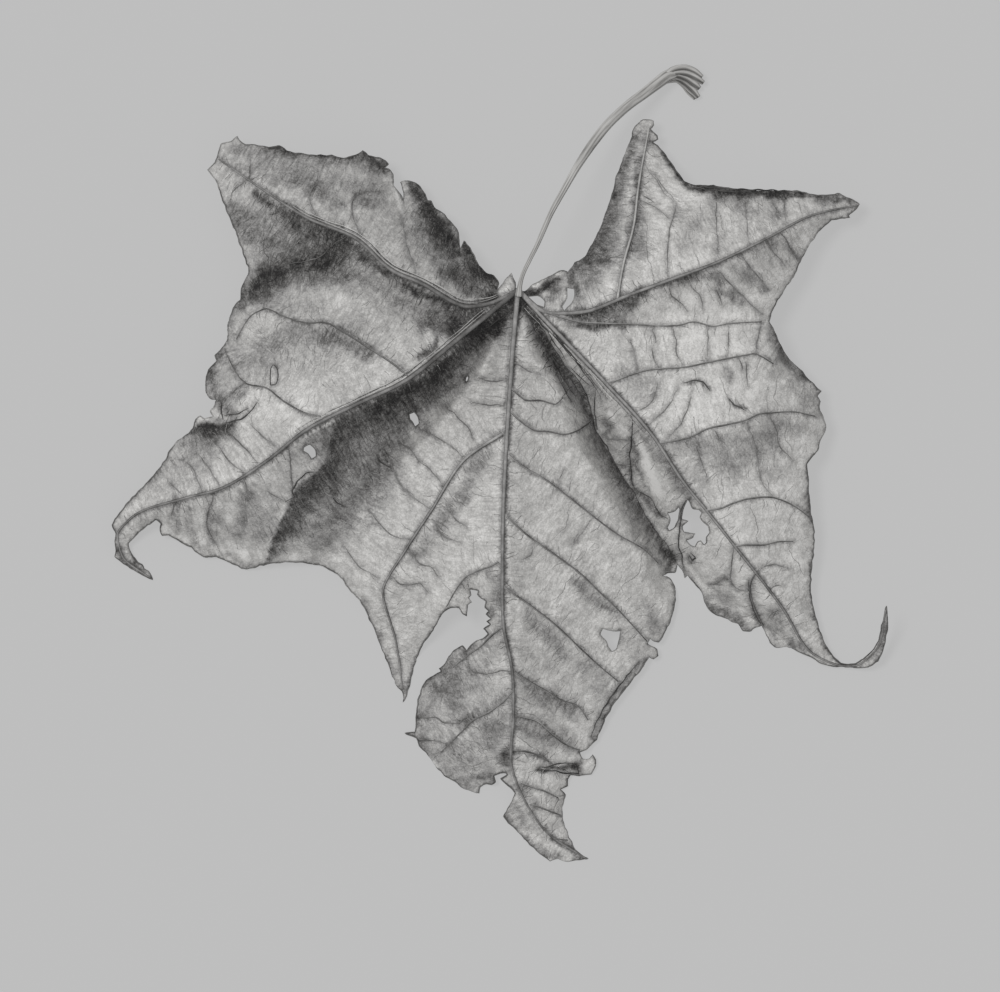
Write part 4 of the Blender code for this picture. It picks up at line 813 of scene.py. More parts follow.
def surface(points):
    """Height of the blade's lower face: it sags and puckers between its veins, a groove runs along both
    sides of each vein, and its margin curls down."""
    _, from_main = nearest(points, main_tree)
    _, from_side = nearest(points, side_tree)
    nearest_vein, from_vein = nearest(points, vein_tree)
    _, from_rung = nearest(points, rung_tree)
    _, from_edge = nearest(points, edge_tree)
    main_sag = MAIN_SAG * (1 - fading(from_main, MAIN_SAG_REACH))
    side_sag = SIDE_SAG * (1 - fading(from_side, SIDE_SAG_REACH))
    pucker = PUCKER * rippled(points, PUCKER_SIZE) + FINE_PUCKER * rippled(points, FINE_PUCKER_SIZE)
    pucker = pucker * np.clip(from_vein / FREE_DISTANCE, HELD_PUCKER, 1.0)
    radius = vein_radii[nearest_vein]
    groove = GROOVE_DEPTH * radius * fading(from_vein - radius - GROOVE_GAP, GROOVE_WIDTH)
    dip = RUNG_DIP * fading(from_rung, RUNG_DIP_WIDTH)
    curl = EDGE_CURL * np.exp(-from_edge / EDGE_CURL_REACH)
    height = relief.at(points) - (main_sag + side_sag) + pucker - groove - dip - curl
    return np.maximum(height, 0.0)


# A stroke is felt as far as this many times its half width. The edges of a two-sided stroke, stain or
# painted shade, are moved at random, by as much as a fringe and a finer one, and a one-sided painted shade's
# width is uneven.
STROKE_REACH = 3
CRISP_EDGE = 0.3
UNEVEN_WIDTH, UNEVEN_SIZE = 0.3, 0.9
FRINGE, FRINGE_SIZE = 1.1, 2.5
FINE_FRINGE, FINE_FRINGE_SIZE = 0.5, 0.9


def brushed(points, strokes, one_sided=False):
    """How strongly strokes cover each point, from 0 to 1. A one-sided stroke stops short at its line."""
    bare = np.ones(len(points))
    for strength, line in strokes:
        line = np.asarray(line, float)
        low = (line[:, :2] - STROKE_REACH * line[:, 2:]).min(axis=0)
        high = (line[:, :2] + STROKE_REACH * line[:, 2:]).max(axis=0)
        near = np.flatnonzero(((points >= low) & (points <= high)).all(axis=1))
        closest = np.full(len(near), np.inf)
        depth = np.zeros(len(near))
        for start, end in zip(line[:-1], line[1:]):
            run = end[:2] - start[:2]
            offset = points[near] - start[:2]
            share = np.clip((offset @ run) / (run @ run), 0.0, 1.0)
            gap = np.linalg.norm(offset - share[:, None] * run, axis=1)
            width = start[2] + share * (end[2] - start[2])
            if one_sided:
                right_side = run[0] * offset[:, 1] < run[1] * offset[:, 0]
                foot = start[:2] + share[:, None] * run
                uneven = width * (1 + UNEVEN_WIDTH * rippled(foot, UNEVEN_SIZE))
                width = np.where(right_side, CRISP_EDGE, uneven)
            depth = np.where(gap < closest, fading(gap, width), depth)
            closest = np.minimum(closest, gap)
        bare[near] *= 1 - strength * depth
    return 1 - bare


def feathered(points):
    """The points moved a little at random, so that what is brushed on them gets uneven edges."""
    return points + FRINGE * swayed(points, FRINGE_SIZE) + FINE_FRINGE * swayed(points, FINE_FRINGE_SIZE)


# Tones run from 0, the palest, to 1, the darkest. Painted shade lies in the groove along each vein, darker
# on the side away from the light and fainter beside a vein thinner than THICK_VEIN, and along the rungs and
# creases. The margin is dark in patches.
BASE_TONE = 0.15
SHADED_SIDE = (0.86, -0.5)
LEE_GROOVE, SUN_GROOVE = 0.5, 0.24
THICK_VEIN, FAINTEST_GROOVE = 0.3, 0.5
RUNG_GROOVE, RUNG_GROOVE_WIDTH = 0.22, 0.5
DARK_EDGE, DARK_EDGE_REACH = 0.2, 0.35
EDGE_PATCHES, EDGE_PATCH_SIZE = 1.4, 4.0
EDGE_LEVEL = 0.8
LIGHTENING = 0.35


def darkness(points):
    """How dark the tissue is painted: darker with stains and painted fold shade, with painted shade in the
    grooves beside veins and along rungs and creases, and at its edges, and paler with pale places and
    painted light.
    """
    number, from_vein = nearest(points, vein_tree)
    _, from_rung = nearest(points, rung_tree)
    _, from_edge = nearest(points, edge_tree)
    radius = vein_radii[number]
    in_lee = (points - vein_spots[number]) @ np.array(SHADED_SIDE) > 0
    in_groove = fading(from_vein - radius - GROOVE_GAP, GROOVE_WIDTH)
    groove = np.where(in_lee, LEE_GROOVE, SUN_GROOVE) * in_groove
    groove *= np.clip(radius / THICK_VEIN, FAINTEST_GROOVE, 1.0)
    groove += RUNG_GROOVE * fading(from_rung, RUNG_GROOVE_WIDTH)
    patches = EDGE_LEVEL + EDGE_PATCHES * rippled(points, EDGE_PATCH_SIZE)
    edge = DARK_EDGE * np.exp(-from_edge / DARK_EDGE_REACH) * patches
    clean = (1 - brushed(feathered(points), STAINS_AND_SHADE)) * (1 - brushed(points, FOLD_SHADE, one_sided=True))
    lightened = LIGHTENING * brushed(points, PALE_AND_LIT)
    return BASE_TONE * clean + 1 - clean + (groove + edge) * clean - lightened


# How close the sheet's inner points may come to its edges, and to each other.
ROW_CLEARANCE = 0.25
LATTICE_CLEARANCE = 0.55 * TISSUE_STEP
SAME_SPOT = 1e-6


def on_blade(points):
    """True for each point inside the margin and outside the holes."""
    keep = inside(points, margin)
    for hole in holes:
        keep &= ~inside(points, hole)
    return keep


def vein_rows():
    """Rows of points along each vein's crest and both its grooves, thinned where veins meet."""
    rows = []
    for line, radii in main_veins + side_veins:
        rows += [line] + [beside(line, side * (radii + GROOVE_GAP)) for side in (-1, 1)]
    for crease in creases:
        rows += [crease] + [beside(crease, side * CRISP_EDGE) for side in (-1, 1)]
    spots = np.vstack(rows)
    kept = {}
    for x, y in spots[on_blade(spots)].tolist():
        kept.setdefault((round(x / CRISP_EDGE), round(y / CRISP_EDGE)), (x, y))
    points = np.array(list(kept.values()))
    _, gap = nearest(points, edge_tree)
    return points[gap > ROW_CLEARANCE]


def lattice(taken):
    """A triangular lattice of points over the blade, kept clear of points already taken."""
    low = margin.min(axis=0)
    high = margin.max(axis=0)
    columns = np.arange(low[0], high[0], TISSUE_STEP)
    rows = np.arange(low[1], high[1], TISSUE_STEP * math.sqrt(3) / 2)
    nudges = [(number % 2) * TISSUE_STEP / 2 for number in range(len(rows))]
    points = np.array([(x + nudge, y) for nudge, y in zip(nudges, rows) for x in columns])
    points = points[on_blade(points)]
    _, gap = nearest(points, plan_tree(taken))
    return points[gap > LATTICE_CLEARANCE]


def blade_sheet():
    """Plan points and triangles of the blade, with its holes left open."""
    edges = []
    start = 0
    for loop in loops:
        edges += [(start + i, start + (i + 1) % len(loop)) for i in range(len(loop))]
        start += len(loop)
    rows = vein_rows()
    spots = np.vstack([*loops, rows, lattice(np.vstack([*loops, rows]))])
    corners = [Vector(spot) for spot in spots.tolist()]
    flat, _, faces, *_ = delaunay_2d_cdt(corners, edges, [], 0, SAME_SPOT)
    flat = np.array([tuple(spot) for spot in flat])
    faces = np.array([tuple(face) for face in faces])
    return flat, faces[on_blade(flat[faces].mean(axis=1))]


def add_mesh(name, points, faces):
    """A smooth object from points in millimetres and their faces."""
    mesh = bpy.data.meshes.new(name)
    mesh.from_pydata((np.asarray(points) * MM).tolist(), [], [tuple(face) for face in faces])
    mesh.validate()
    mesh.shade_smooth()
    obj = bpy.data.objects.new(name, mesh)
    bpy.context.scene.collection.objects.link(obj)
    return obj


def add_values(mesh, name, kind, values):
    """A number or a vector for each of the mesh's points, for its material to read."""
    field = mesh.attributes.new(name, kind, "POINT")
    slot = "vector" if kind == "FLOAT_VECTOR" else "value"
    field.data.foreach_set(slot, np.asarray(values, np.float32).ravel())


plan, triangles = blade_sheet()
blade_low, blade_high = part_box("leaf_blade")
frame_middle = (np.array(blade_low) + np.array(blade_high))[:2] / (2 * MM)
margin_middle = (margin.min(axis=0) + margin.max(axis=0)) / 2
shift = np.array([*(frame_middle - margin_middle), blade_low.z / MM])
blade = add_mesh("blade_tissue", np.column_stack([plan, surface(plan)]) + shift, triangles.tolist())
nearest_spot, from_vein = nearest(plan, vein_tree)
fibre_place = np.column_stack([nearest_spot * VEIN_STEP, from_vein, np.zeros(len(plan))])
add_values(blade.data, "darkness", "FLOAT", darkness(plan))
add_values(blade.data, "fibre", "FLOAT_VECTOR", fibre_place)
thickness = blade.modifiers.new("thickness", "SOLIDIFY")
thickness.thickness = TISSUE * MM
thickness.offset = 1.0


def linear(hex_colour):
    """An sRGB hex colour as linear RGBA."""
    parts = [int(hex_colour[i : i + 2], 16) / 255 for i in (1, 3, 5)]
    return (*[p / 12.92 if p <= 0.04045 else ((p + 0.055) / 1.055) ** 2.4 for p in parts], 1.0)


def add_node(tree, kind, inputs=None, stops=None, **settings):
    """A node with its settings, its inputs as values or as other nodes' outputs, and a ramp's colours."""
    node = tree.nodes.new(kind)
    for name, value in settings.items():
        setattr(node, name, value)
    for key, value in (inputs or {}).items():
        if isinstance(value, bpy.types.NodeSocket):
            tree.links.new(value, node.inputs[key])
        else:
            node.inputs[key].default_value = value
    for number, colour in enumerate(stops or []):
        place = number / (len(stops) - 1)
        ramp = node.color_ramp.elements
        stop = ramp[0] if number == 0 else ramp[-1] if number == len(stops) - 1 else ramp.new(place)
        stop.position = place
        stop.color = linear(colour)
    return node


def new_material(name):
    material = bpy.data.materials.new(name)
    material.use_nodes = True
    material.node_tree.nodes.clear()
    return material, material.node_tree


def per_mm(size):
    """The texture scale, on coordinates in metres, that makes a pattern of that size in millimetres."""
    return 1 / (size * MM)


# The greys from the palest tone to the darkest, and the sizes of the grain and the net of veinlets.
LEAF_GREYS = ["#CFCECC", "#AAA9A7", "#888786", "#656463", "#434241", "#232222"]
FIBRE_SIZE = (0.5, 3.0)
NET_SIZE, NET_BEND = 1.3, 1.2
NET_WIDTH, NET_TONE = 0.12, 0.08
MOTTLE, MOTTLE_IN_DARK = 0.5, 1.1


def dry_leaf_tissue():
    """Dead leaf tissue, weathered to silver grey: matt, with a fine fibrous grain across its veins, a net
    of the finest veinlets, and a mottle that is stronger where it is dark. The net's meshes are 1.3 mm wide,
    because real ones, a third of a millimetre wide, are too fine to show."""
    material, tree = new_material("dry_leaf_tissue")
    place = add_node(tree, "ShaderNodeTexCoord").outputs["Object"]
    dark = add_node(tree, "ShaderNodeAttribute", attribute_name="darkness").outputs["Fac"]
    fibre = add_node(tree, "ShaderNodeAttribute", attribute_name="fibre").outputs["Vector"]
    fibre_scale = (1 / FIBRE_SIZE[0], 1 / FIBRE_SIZE[1], 1.0)
    strands = add_node(tree, "ShaderNodeVectorMath", {0: fibre, 1: fibre_scale}, operation="MULTIPLY")
    bend = add_node(tree, "ShaderNodeTexNoise", {"Vector": place, "Scale": per_mm(NET_BEND), "Detail": 2.0})
    bent = add_node(tree, "ShaderNodeVectorMath", {0: bend.outputs["Color"], 1: (MM, MM, MM)},
                    operation="MULTIPLY")
    wandering = add_node(tree, "ShaderNodeVectorMath", {0: place, 1: bent.outputs[0]}, operation="ADD")
    net = add_node(tree, "ShaderNodeTexVoronoi", {
        "Vector": wandering.outputs[0], "Scale": per_mm(NET_SIZE)}, feature="DISTANCE_TO_EDGE")
    veinlet = add_node(tree, "ShaderNodeMapRange", {"Value": net.outputs["Distance"], "From Max": NET_WIDTH,
                                                    "To Min": 1.0, "To Max": 0.0})
    # Each pattern's coordinates, its scale, its detail and its strength.
    patterns = [
        (strands.outputs[0], 1.0, 3.0, 0.55),
        (place, per_mm(0.3), 2.0, 0.5),
        (place, per_mm(1.0), 3.0, 0.35),
        (place, per_mm(2.6), 4.0, 0.5),
        (place, per_mm(8.0), 2.0, 0.3),
    ]
    mottle = add_node(tree, "ShaderNodeMath", {0: veinlet.outputs[0], 1: NET_TONE}, operation="MULTIPLY")
    grains = []
    for vector, scale, detail, strength in patterns:
        grain = add_node(tree, "ShaderNodeTexNoise", {"Vector": vector, "Scale": scale, "Detail": detail})
        part = add_node(tree, "ShaderNodeMapRange", {"Value": grain.outputs["Fac"], "To Min": -strength / 2,
                                                     "To Max": strength / 2})
        mottle = add_node(tree, "ShaderNodeMath", {0: mottle.outputs[0], 1: part.outputs[0]},
                          operation="ADD")
        grains.append(grain)
    contrast = add_node(tree, "ShaderNodeMath", {0: dark, 1: MOTTLE_IN_DARK, 2: MOTTLE},
                        operation="MULTIPLY_ADD")
    tone = add_node(tree, "ShaderNodeMath", {0: mottle.outputs[0], 1: contrast.outputs[0], 2: dark},
                    operation="MULTIPLY_ADD")
    colour = add_node(tree, "ShaderNodeValToRGB", {"Fac": tone.outputs[0]}, stops=LEAF_GREYS)
    height = add_node(tree, "ShaderNodeMath", {0: veinlet.outputs[0], 1: grains[1].outputs["Fac"]},
                      operation="ADD")
    bump = add_node(tree, "ShaderNodeBump", {"Height": height.outputs[0], "Strength": 0.3,
                                             "Distance": 0.1 * MM})
    shader = add_node(tree, "ShaderNodeBsdfPrincipled", {
        "Base Color": colour.outputs["Color"], "Roughness": 0.82, "Specular IOR Level": 0.25,
        "Normal": bump.outputs[0]})
    add_node(tree, "ShaderNodeOutputMaterial", {"Surface": shader.outputs[0]})
    return material


blade.data.materials.append(dry_leaf_tissue())
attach(blade, "root")
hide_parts("leaf_blade")


# ---- The veins --------------------------------------------------------------------------------------
# The blade's ribs: main veins that fan out from the joint, side veins, and the rungs that tie them. They
# are woody strands half sunk in the tissue, thick at the joint and thin at the margin. The creases, the
# torn margin and the rims of the holes dried as hard, and are made in the same way.

# The flanks are thin dark strands along a vein's sides, painted shade of its grooves, darker on the side
# away from the light.
# A strand's radius, its tones at its start and its end, and its number of sides.
LEE_FLANK = (0.085, (0.8, 0.7), 5)
SUN_FLANK = (0.07, (0.7, 0.55), 5)
LOOSE_STRAND = (0.15, (0.22, 0.25), 5)
# The crease strands are nearly black: partly real cracks, partly painted shade in the fold valleys.
CREASE = (0.15, (0.88, 0.88), 6)
HOLE_RIM = (0.07, (0.5, 0.5), 5)
RUNG_RADIUS, RUNG_TONES, RUNG_SIDES = 0.13, (0.6, 0.52), 6
MARGIN_RADIUS, MARGIN_TONES, MARGIN_SIDES = 0.1, (0.75, 0.75), 5
MARGIN_SWELLING, MARGIN_LEAST, MARGIN_MOST = 1.9, 0.2, 2.0
MAIN_SIDES = 10
# The left and upper left veins are darker near the joint: painted shade, where the fold beside them lies in
# shadow.
MAIN_TONES = {"sub_lobe_vein": (0.3, 0.3), "left_vein": (0.6, 0.44), "upper_left_vein": (0.58, 0.5)}
OTHER_MAIN_TONES = (0.44, 0.56)
SIDE_SIDES = 7
SIDE_TONES = (0.45, 0.6)
STRAND_TONE_SPREAD = 0.07
# How strands take on the tissue's darkness, its stains and painted shade alike, sink in it, and thin towards
# their ends.
SUNK_SHADE = 0.85
SUNK_DEPTH = 0.1
THIN_END = 0.35
UNEVEN_STRAND, UNEVEN_STRAND_SIZE = 0.5, 1.5
FLANK_GAP = 0.03
# The stretch of a main vein, as shares of its length, that loose strands run beside, and how far off.
BUNDLED = {"left_vein": (0.07, 0.5), "upper_left_vein": (0.06, 0.75), "right_vein": (0.03, 0.33)}
BUNDLE_GAPS = {"flank": (0.1, 0.68), "strand": (0.36, 0.92)}
BUNDLE_SWAY, BUNDLE_SWAY_SIZE = 0.5, 6.0
# Over what length a slope is measured, and the steepest one, as its square.
SLOPE_STEP = 0.25
STEEPEST_SLOPE = 6.0


def tube(path, radii, sides):
    """Points and faces of a round strand along a path, with a radius at each point and closed ends."""
    heading = np.gradient(path, axis=0)
    heading /= np.linalg.norm(heading, axis=1)[:, None]
    level = np.cross(heading, (0.0, 0.0, 1.0))
    level /= np.maximum(np.linalg.norm(level, axis=1), 1e-9)[:, None]
    upright = np.cross(level, heading)
    turn = np.arange(sides) * math.tau / sides
    ring = np.cos(turn)[None, :, None] * level[:, None] + np.sin(turn)[None, :, None] * upright[:, None]
    points = (path[:, None] + ring * np.asarray(radii)[:, None, None]).reshape(-1, 3)
    faces = []
    for row in range(len(path) - 1):
        here = row * sides
        ahead = here + sides
        for side in range(sides):
            after = (side + 1) % sides
            faces.append((here + after, here + side, ahead + side, ahead + after))
    last = (len(path) - 1) * sides
    faces.append(tuple(range(sides)))
    faces.append(tuple(last + side for side in reversed(range(sides))))
    return points, faces


def upper_face(points):
    """Height of the blade's upper face, where the tissue is as thick square to a slope as on the level."""
    height = surface(points)
    slopes = [(surface(points + step) - height) / SLOPE_STEP for step in SLOPE_STEP * np.eye(2)]
    steepness = np.minimum(slopes[0] ** 2 + slopes[1] ** 2, STEEPEST_SLOPE)
    return height + TISSUE * np.sqrt(1 + steepness)


def strand(line, radii, sides):
    """A vein that lies half sunk in the blade's upper face."""
    height = upper_face(line) - radii * SUNK_DEPTH
    return tube(np.column_stack([line, height]), radii, sides)


def spindle(line, radius):
    """Radii for a strand that thins towards both its ends, unevenly."""
    share = np.linspace(0.0, math.pi, len(line))
    uneven = 1 + UNEVEN_STRAND * rippled(line, UNEVEN_STRAND_SIZE)
    return radius * (THIN_END + (1 - THIN_END) * np.sin(share)) * uneven


def joined(pieces):
    """Several point and face lists as one."""
    points = np.vstack([piece[0] for piece in pieces])
    faces = []
    start = 0
    for piece_points, piece_faces in pieces:
        faces += [tuple(start + corner for corner in face) for face in piece_faces]
        start += len(piece_points)
    return points, faces


def lee_side(line):
    """1 where a vein's shaded side is the left one, as one walks along it, and -1 where it is the right."""
    across = np.array([line[0, 1] - line[-1, 1], line[-1, 0] - line[0, 0]])
    return 1 if across @ np.array(SHADED_SIDE) > 0 else -1


def add_strands(name, families, rng):
    """One piece from families of strands, each family as its lines, radii, tones and number of sides."""
    strands = []
    shades = []
    for lines, radii, tones, sides in families:
        for line, thickness, tone in zip(lines, radii, tones):
            strands.append(strand(line, thickness, sides))
            offset = rng.uniform(-STRAND_TONE_SPREAD, STRAND_TONE_SPREAD)
            shades.append(np.repeat(np.linspace(*tone, len(line)) + offset, sides))
    points, faces = joined(strands)
    piece = add_mesh(name, points + shift, faces)
    add_values(piece.data, "tone", "FLOAT", np.hstack(shades))
    return piece


def ground_under(lines):
    """How dark the tissue is under the middle of each line."""
    return darkness(np.array([line[len(line) // 2] for line in lines]))


def sunk_tones(lines, tones):
    """Tones for strands, darker than given where the tissue under their middles is darker still."""
    start, end = tones
    return [(max(start, dark), max(end, dark)) for dark in SUNK_SHADE * ground_under(lines)]


def family(lines, radius, tones, sides):
    """Strands that thin towards both their ends, all as thick and as dark as each other."""
    return lines, [spindle(line, radius) for line in lines], [tones] * len(lines), sides


lee_flanks = [beside(line, lee_side(line) * (radii + FLANK_GAP)) for line, radii in main_veins + side_veins]
sun_flanks = [beside(line, -lee_side(line) * (radii + FLANK_GAP)) for line, radii in main_veins]
bundles = {kind: [] for kind in BUNDLE_GAPS}
for name, (line, radii) in zip(MAIN_RADII, main_veins):
    if name in BUNDLED:
        stretch = slice(*[int(share * len(line)) for share in BUNDLED[name]])
        for kind, gaps in BUNDLE_GAPS.items():
            for gap in gaps:
                sway = 1 + BUNDLE_SWAY * rippled(line + gap * ELSEWHERE, BUNDLE_SWAY_SIZE)
                bundles[kind].append(beside(line, -lee_side(line) * (radii + gap * sway))[stretch])
rims = [np.vstack([loop, loop[:1]]) for loop in loops]
# The torn margin is thick where it is dark, and hardly raised elsewhere.
swelling = EDGE_LEVEL + MARGIN_SWELLING * rippled(rims[0], EDGE_PATCH_SIZE)
margin_radii = MARGIN_RADIUS * np.clip(swelling, MARGIN_LEAST, MARGIN_MOST)
main_tones = [MAIN_TONES.get(name, OTHER_MAIN_TONES) for name in MAIN_RADII]
rung_radii = [spindle(line, RUNG_RADIUS) for line in drawn_rungs]
veins = add_strands("veins", [
    (main_lines, [radii for _, radii in main_veins], main_tones, MAIN_SIDES),
    (side_lines, [radii for _, radii in side_veins], sunk_tones(side_lines, SIDE_TONES), SIDE_SIDES),
    family(lee_flanks + bundles["flank"], *LEE_FLANK),
    family(sun_flanks, *SUN_FLANK),
    family(bundles["strand"], *LOOSE_STRAND),
    (drawn_rungs, rung_radii, sunk_tones(drawn_rungs, RUNG_TONES), RUNG_SIDES),
    family(creases, *CREASE),
    (rims[:1], [margin_radii], [MARGIN_TONES], MARGIN_SIDES),
    family(rims[1:], *HOLE_RIM),
], rng)

WOOD_GRAIN, WOOD_WEAR = 0.5, 3.0


def dry_vein_wood():
    """Woody vein fibre, weathered to the tissue's greys: matt, paler than the grooves beside it, with a
    faint grain and patches of wear, and darker in the finest veins."""
    material, tree = new_material("dry_vein_wood")
    place = add_node(tree, "ShaderNodeTexCoord").outputs["Object"]
    tone = add_node(tree, "ShaderNodeAttribute", attribute_name="tone").outputs["Fac"]
    patterns = []
    for size, detail, strength in ((WOOD_GRAIN, 3.0, 0.15), (WOOD_WEAR, 2.0, 0.3)):
        pattern = add_node(tree, "ShaderNodeTexNoise", {"Vector": place, "Scale": per_mm(size),
                                                        "Detail": detail})
        uneven = add_node(tree, "ShaderNodeMapRange", {"Value": pattern.outputs["Fac"], "To Min": -strength,
                                                       "To Max": strength})
        tone = add_node(tree, "ShaderNodeMath", {0: tone, 1: uneven.outputs[0]}, operation="ADD").outputs[0]
        patterns.append(pattern)
    colour = add_node(tree, "ShaderNodeValToRGB", {"Fac": tone}, stops=LEAF_GREYS)
    bump = add_node(tree, "ShaderNodeBump", {"Height": patterns[0].outputs["Fac"], "Strength": 0.3,
                                             "Distance": 0.06 * MM})
    shader = add_node(tree, "ShaderNodeBsdfPrincipled", {
        "Base Color": colour.outputs["Color"], "Roughness": 0.7, "Specular IOR Level": 0.3,
        "Normal": bump.outputs[0]})
    add_node(tree, "ShaderNodeOutputMaterial", {"Surface": shader.outputs[0]})
    return material


vein_wood = dry_vein_wood()
veins.data.materials.append(vein_wood)
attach(veins, "root")


# ---- The veinlets -----------------------------------------------------------------------------------
# The thinnest strands of the same vein wood: rungs that grow from vein to vein by a rule, and thousands of
# short stray fibres, which lie across the tissue and are thickest where its stains and painted shade are
# darkest. Both only just stand proud of the tissue.

# The rungs: how thick they are, how far apart they leave a vein, how they step, and what they shun.
VEINLET_RADIUS = 0.08
VEINLET_SIDES = 4
VEINLET_SPACING = (2.4, 3.8)
VEINLET_START = 0.3
VEINLET_STEP = 0.4
MOST_STEPS = 40
FEWEST_POINTS = 5
CLEARANCE = 1.2
# How much a rung turns at random at its start and at each step, and the share that it turns back by.
FIRST_TURN, TURN, STRAIGHTENING = 0.15, 0.28, 0.35
MARGIN_CLEARANCE = 0.6
VEIN_REACHED = 0.35
POINTS_NEAR_OWNER = 3
VEINLET_TONES = (0.42, 0.34)
DARKER_VEINLET = (0.1, 0.05)
CELL = 0.5
# The fibres: how many are tried, and how they lie.
FIBRE_SEEDS = 15600
FIBRE_SCATTER = 0.2
FIBRE_LENGTHS = (0.6, 2.4)
FIBRE_POINTS = 5
FIBRE_RADIUS = 0.048
FIBRE_SIDES = 3
# The share of fibres that is kept where the tissue is palest, what darkness adds to it, and how sharply.
FEWEST_FIBRES, FIBRES_IN_DARK, FIBRE_CONTRAST = 0.03, 1.2, 1.5
FIBRE_SLANT, FIBRE_BEND = 0.3, 0.15
# The share that is pale, and how much paler or darker than the tissue a fibre is at its start and its end.
PALE_SHARE = 0.12
PALE_FIBRE = (-0.25, -0.25)
DARK_FIBRE = (0.27, 0.15)


def fibres(rng):
    """Short stray fibres that cross the tissue away from the nearest vein, thickest where its stains and
    painted shade are darkest, and how dark the tissue is under each."""
    spots = plan[rng.integers(0, len(plan), FIBRE_SEEDS)] + rng.normal(0.0, FIBRE_SCATTER, (FIBRE_SEEDS, 2))
    ground = darkness(spots)
    _, from_edge = nearest(spots, edge_tree)
    length = rng.uniform(*FIBRE_LENGTHS, len(spots))
    crowding = FEWEST_FIBRES + FIBRES_IN_DARK * np.maximum(ground, 0.0) ** FIBRE_CONTRAST
    keep = (rng.random(len(spots)) < crowding) & (from_edge > length)
    spots, ground, length = spots[keep], ground[keep], length[keep]
    number, _ = nearest(spots, vein_tree)
    away = spots - vein_spots[number]
    angle = np.arctan2(away[:, 1], away[:, 0]) + rng.normal(0.0, FIBRE_SLANT, len(spots))
    bend = rng.normal(0.0, FIBRE_BEND, len(spots))
    turn = angle[:, None] + bend[:, None] * np.linspace(-1.0, 1.0, FIBRE_POINTS)
    steps = np.stack([np.cos(turn), np.sin(turn)], axis=2) * length[:, None, None] / FIBRE_POINTS
    return list(spots[:, None] + np.cumsum(steps, axis=1)), ground


def cell_of(spot):
    """The half-millimetre square of the plan that a spot lies in."""
    return round(spot[0] / CELL), round(spot[1] / CELL)


def cells_round(line, reach):
    """The squares of the plan within reach of a line."""
    span = range(-math.ceil(reach / CELL), math.ceil(reach / CELL) + 1)
    steps = [(i, j) for i in span for j in span if math.hypot(i, j) * CELL <= reach]
    return {(column + i, row + j) for column, row in map(cell_of, line.tolist()) for i, j in steps}


def wandering_line(spot, heading, owner, owners, crowded, rng):
    """A line that sets out from a spot and wanders until it comes to an edge, a crowded square or a vein."""
    straight = math.atan2(heading[1], heading[0]) + rng.normal(0.0, FIRST_TURN)
    angle = straight
    line = [spot]
    for _ in range(MOST_STEPS):
        angle += STRAIGHTENING * (straight - angle) + rng.normal(0.0, TURN)
        spot = spot + VEINLET_STEP * np.array([math.cos(angle), math.sin(angle)])
        cell = cell_of(spot)
        _, found, gap = vein_tree.find((*spot, 0.0))
        _, _, from_edge = edge_tree.find((*spot, 0.0))
        if from_edge < MARGIN_CLEARANCE or cell in crowded or cell not in tissue_cells:
            break
        line.append(spot)
        if gap < VEIN_REACHED and (owners[found] != owner or len(line) > POINTS_NEAR_OWNER):
            break
    return np.array(line)


def grown_rungs(rng):
    """Rungs that leave each vein at right angles and wander until they meet another vein, rung or edge."""
    lines = main_lines + side_lines
    owners = np.hstack([[number] * len(line) for number, line in enumerate(lines)])
    crowded = set()
    rungs = []
    for line in drawn_rungs:
        crowded |= cells_round(line, CLEARANCE)
    for number, line in enumerate(lines):
        heading = np.gradient(line, axis=0)
        heading /= np.linalg.norm(heading, axis=1)[:, None]
        for side in (-1, 1):
            place = rng.uniform(*VEINLET_SPACING) / 2
            while place / VEIN_STEP < len(line) - 2:
                spot = int(place / VEIN_STEP)
                away = side * np.array([-heading[spot, 1], heading[spot, 0]])
                start = line[spot] + VEINLET_START * away
                rung = wandering_line(start, away, number, owners, crowded, rng)
                if len(rung) >= FEWEST_POINTS:
                    rungs.append(rung)
                    crowded |= cells_round(rung, CLEARANCE)
                place += rng.uniform(*VEINLET_SPACING)
    return rungs


tissue_cells = {cell_of(spot) for spot in plan.tolist()}
stray, stray_ground = fibres(rng)
grown = grown_rungs(rng)
grown_radii = [spindle(line, VEINLET_RADIUS) for line in grown]
grown_tones = []
for dark in ground_under(grown):
    grown_tones.append([max(tone, dark + more) for tone, more in zip(VEINLET_TONES, DARKER_VEINLET)])
stray_radii = [np.full(len(line), FIBRE_RADIUS) for line in stray]
stray_tones = []
for dark, is_pale in zip(stray_ground, rng.random(len(stray)) < PALE_SHARE):
    stray_tones.append([dark + more for more in (PALE_FIBRE if is_pale else DARK_FIBRE)])
veinlets = add_strands("veinlets", [
    (grown, grown_radii, grown_tones, VEINLET_SIDES),
    (stray, stray_radii, stray_tones, FIBRE_SIDES),
], rng)
veinlets.data.materials.append(vein_wood)
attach(veinlets, "root")


# ---- The stalk --------------------------------------------------------------------------------------
# The petiole: a fibrous round rod of dry wood that arches up and over from the joint. Its foot, where it
# broke off the twig, is a fan of flattened, ribbed fingers bent over sideways, and it lies on the floor.

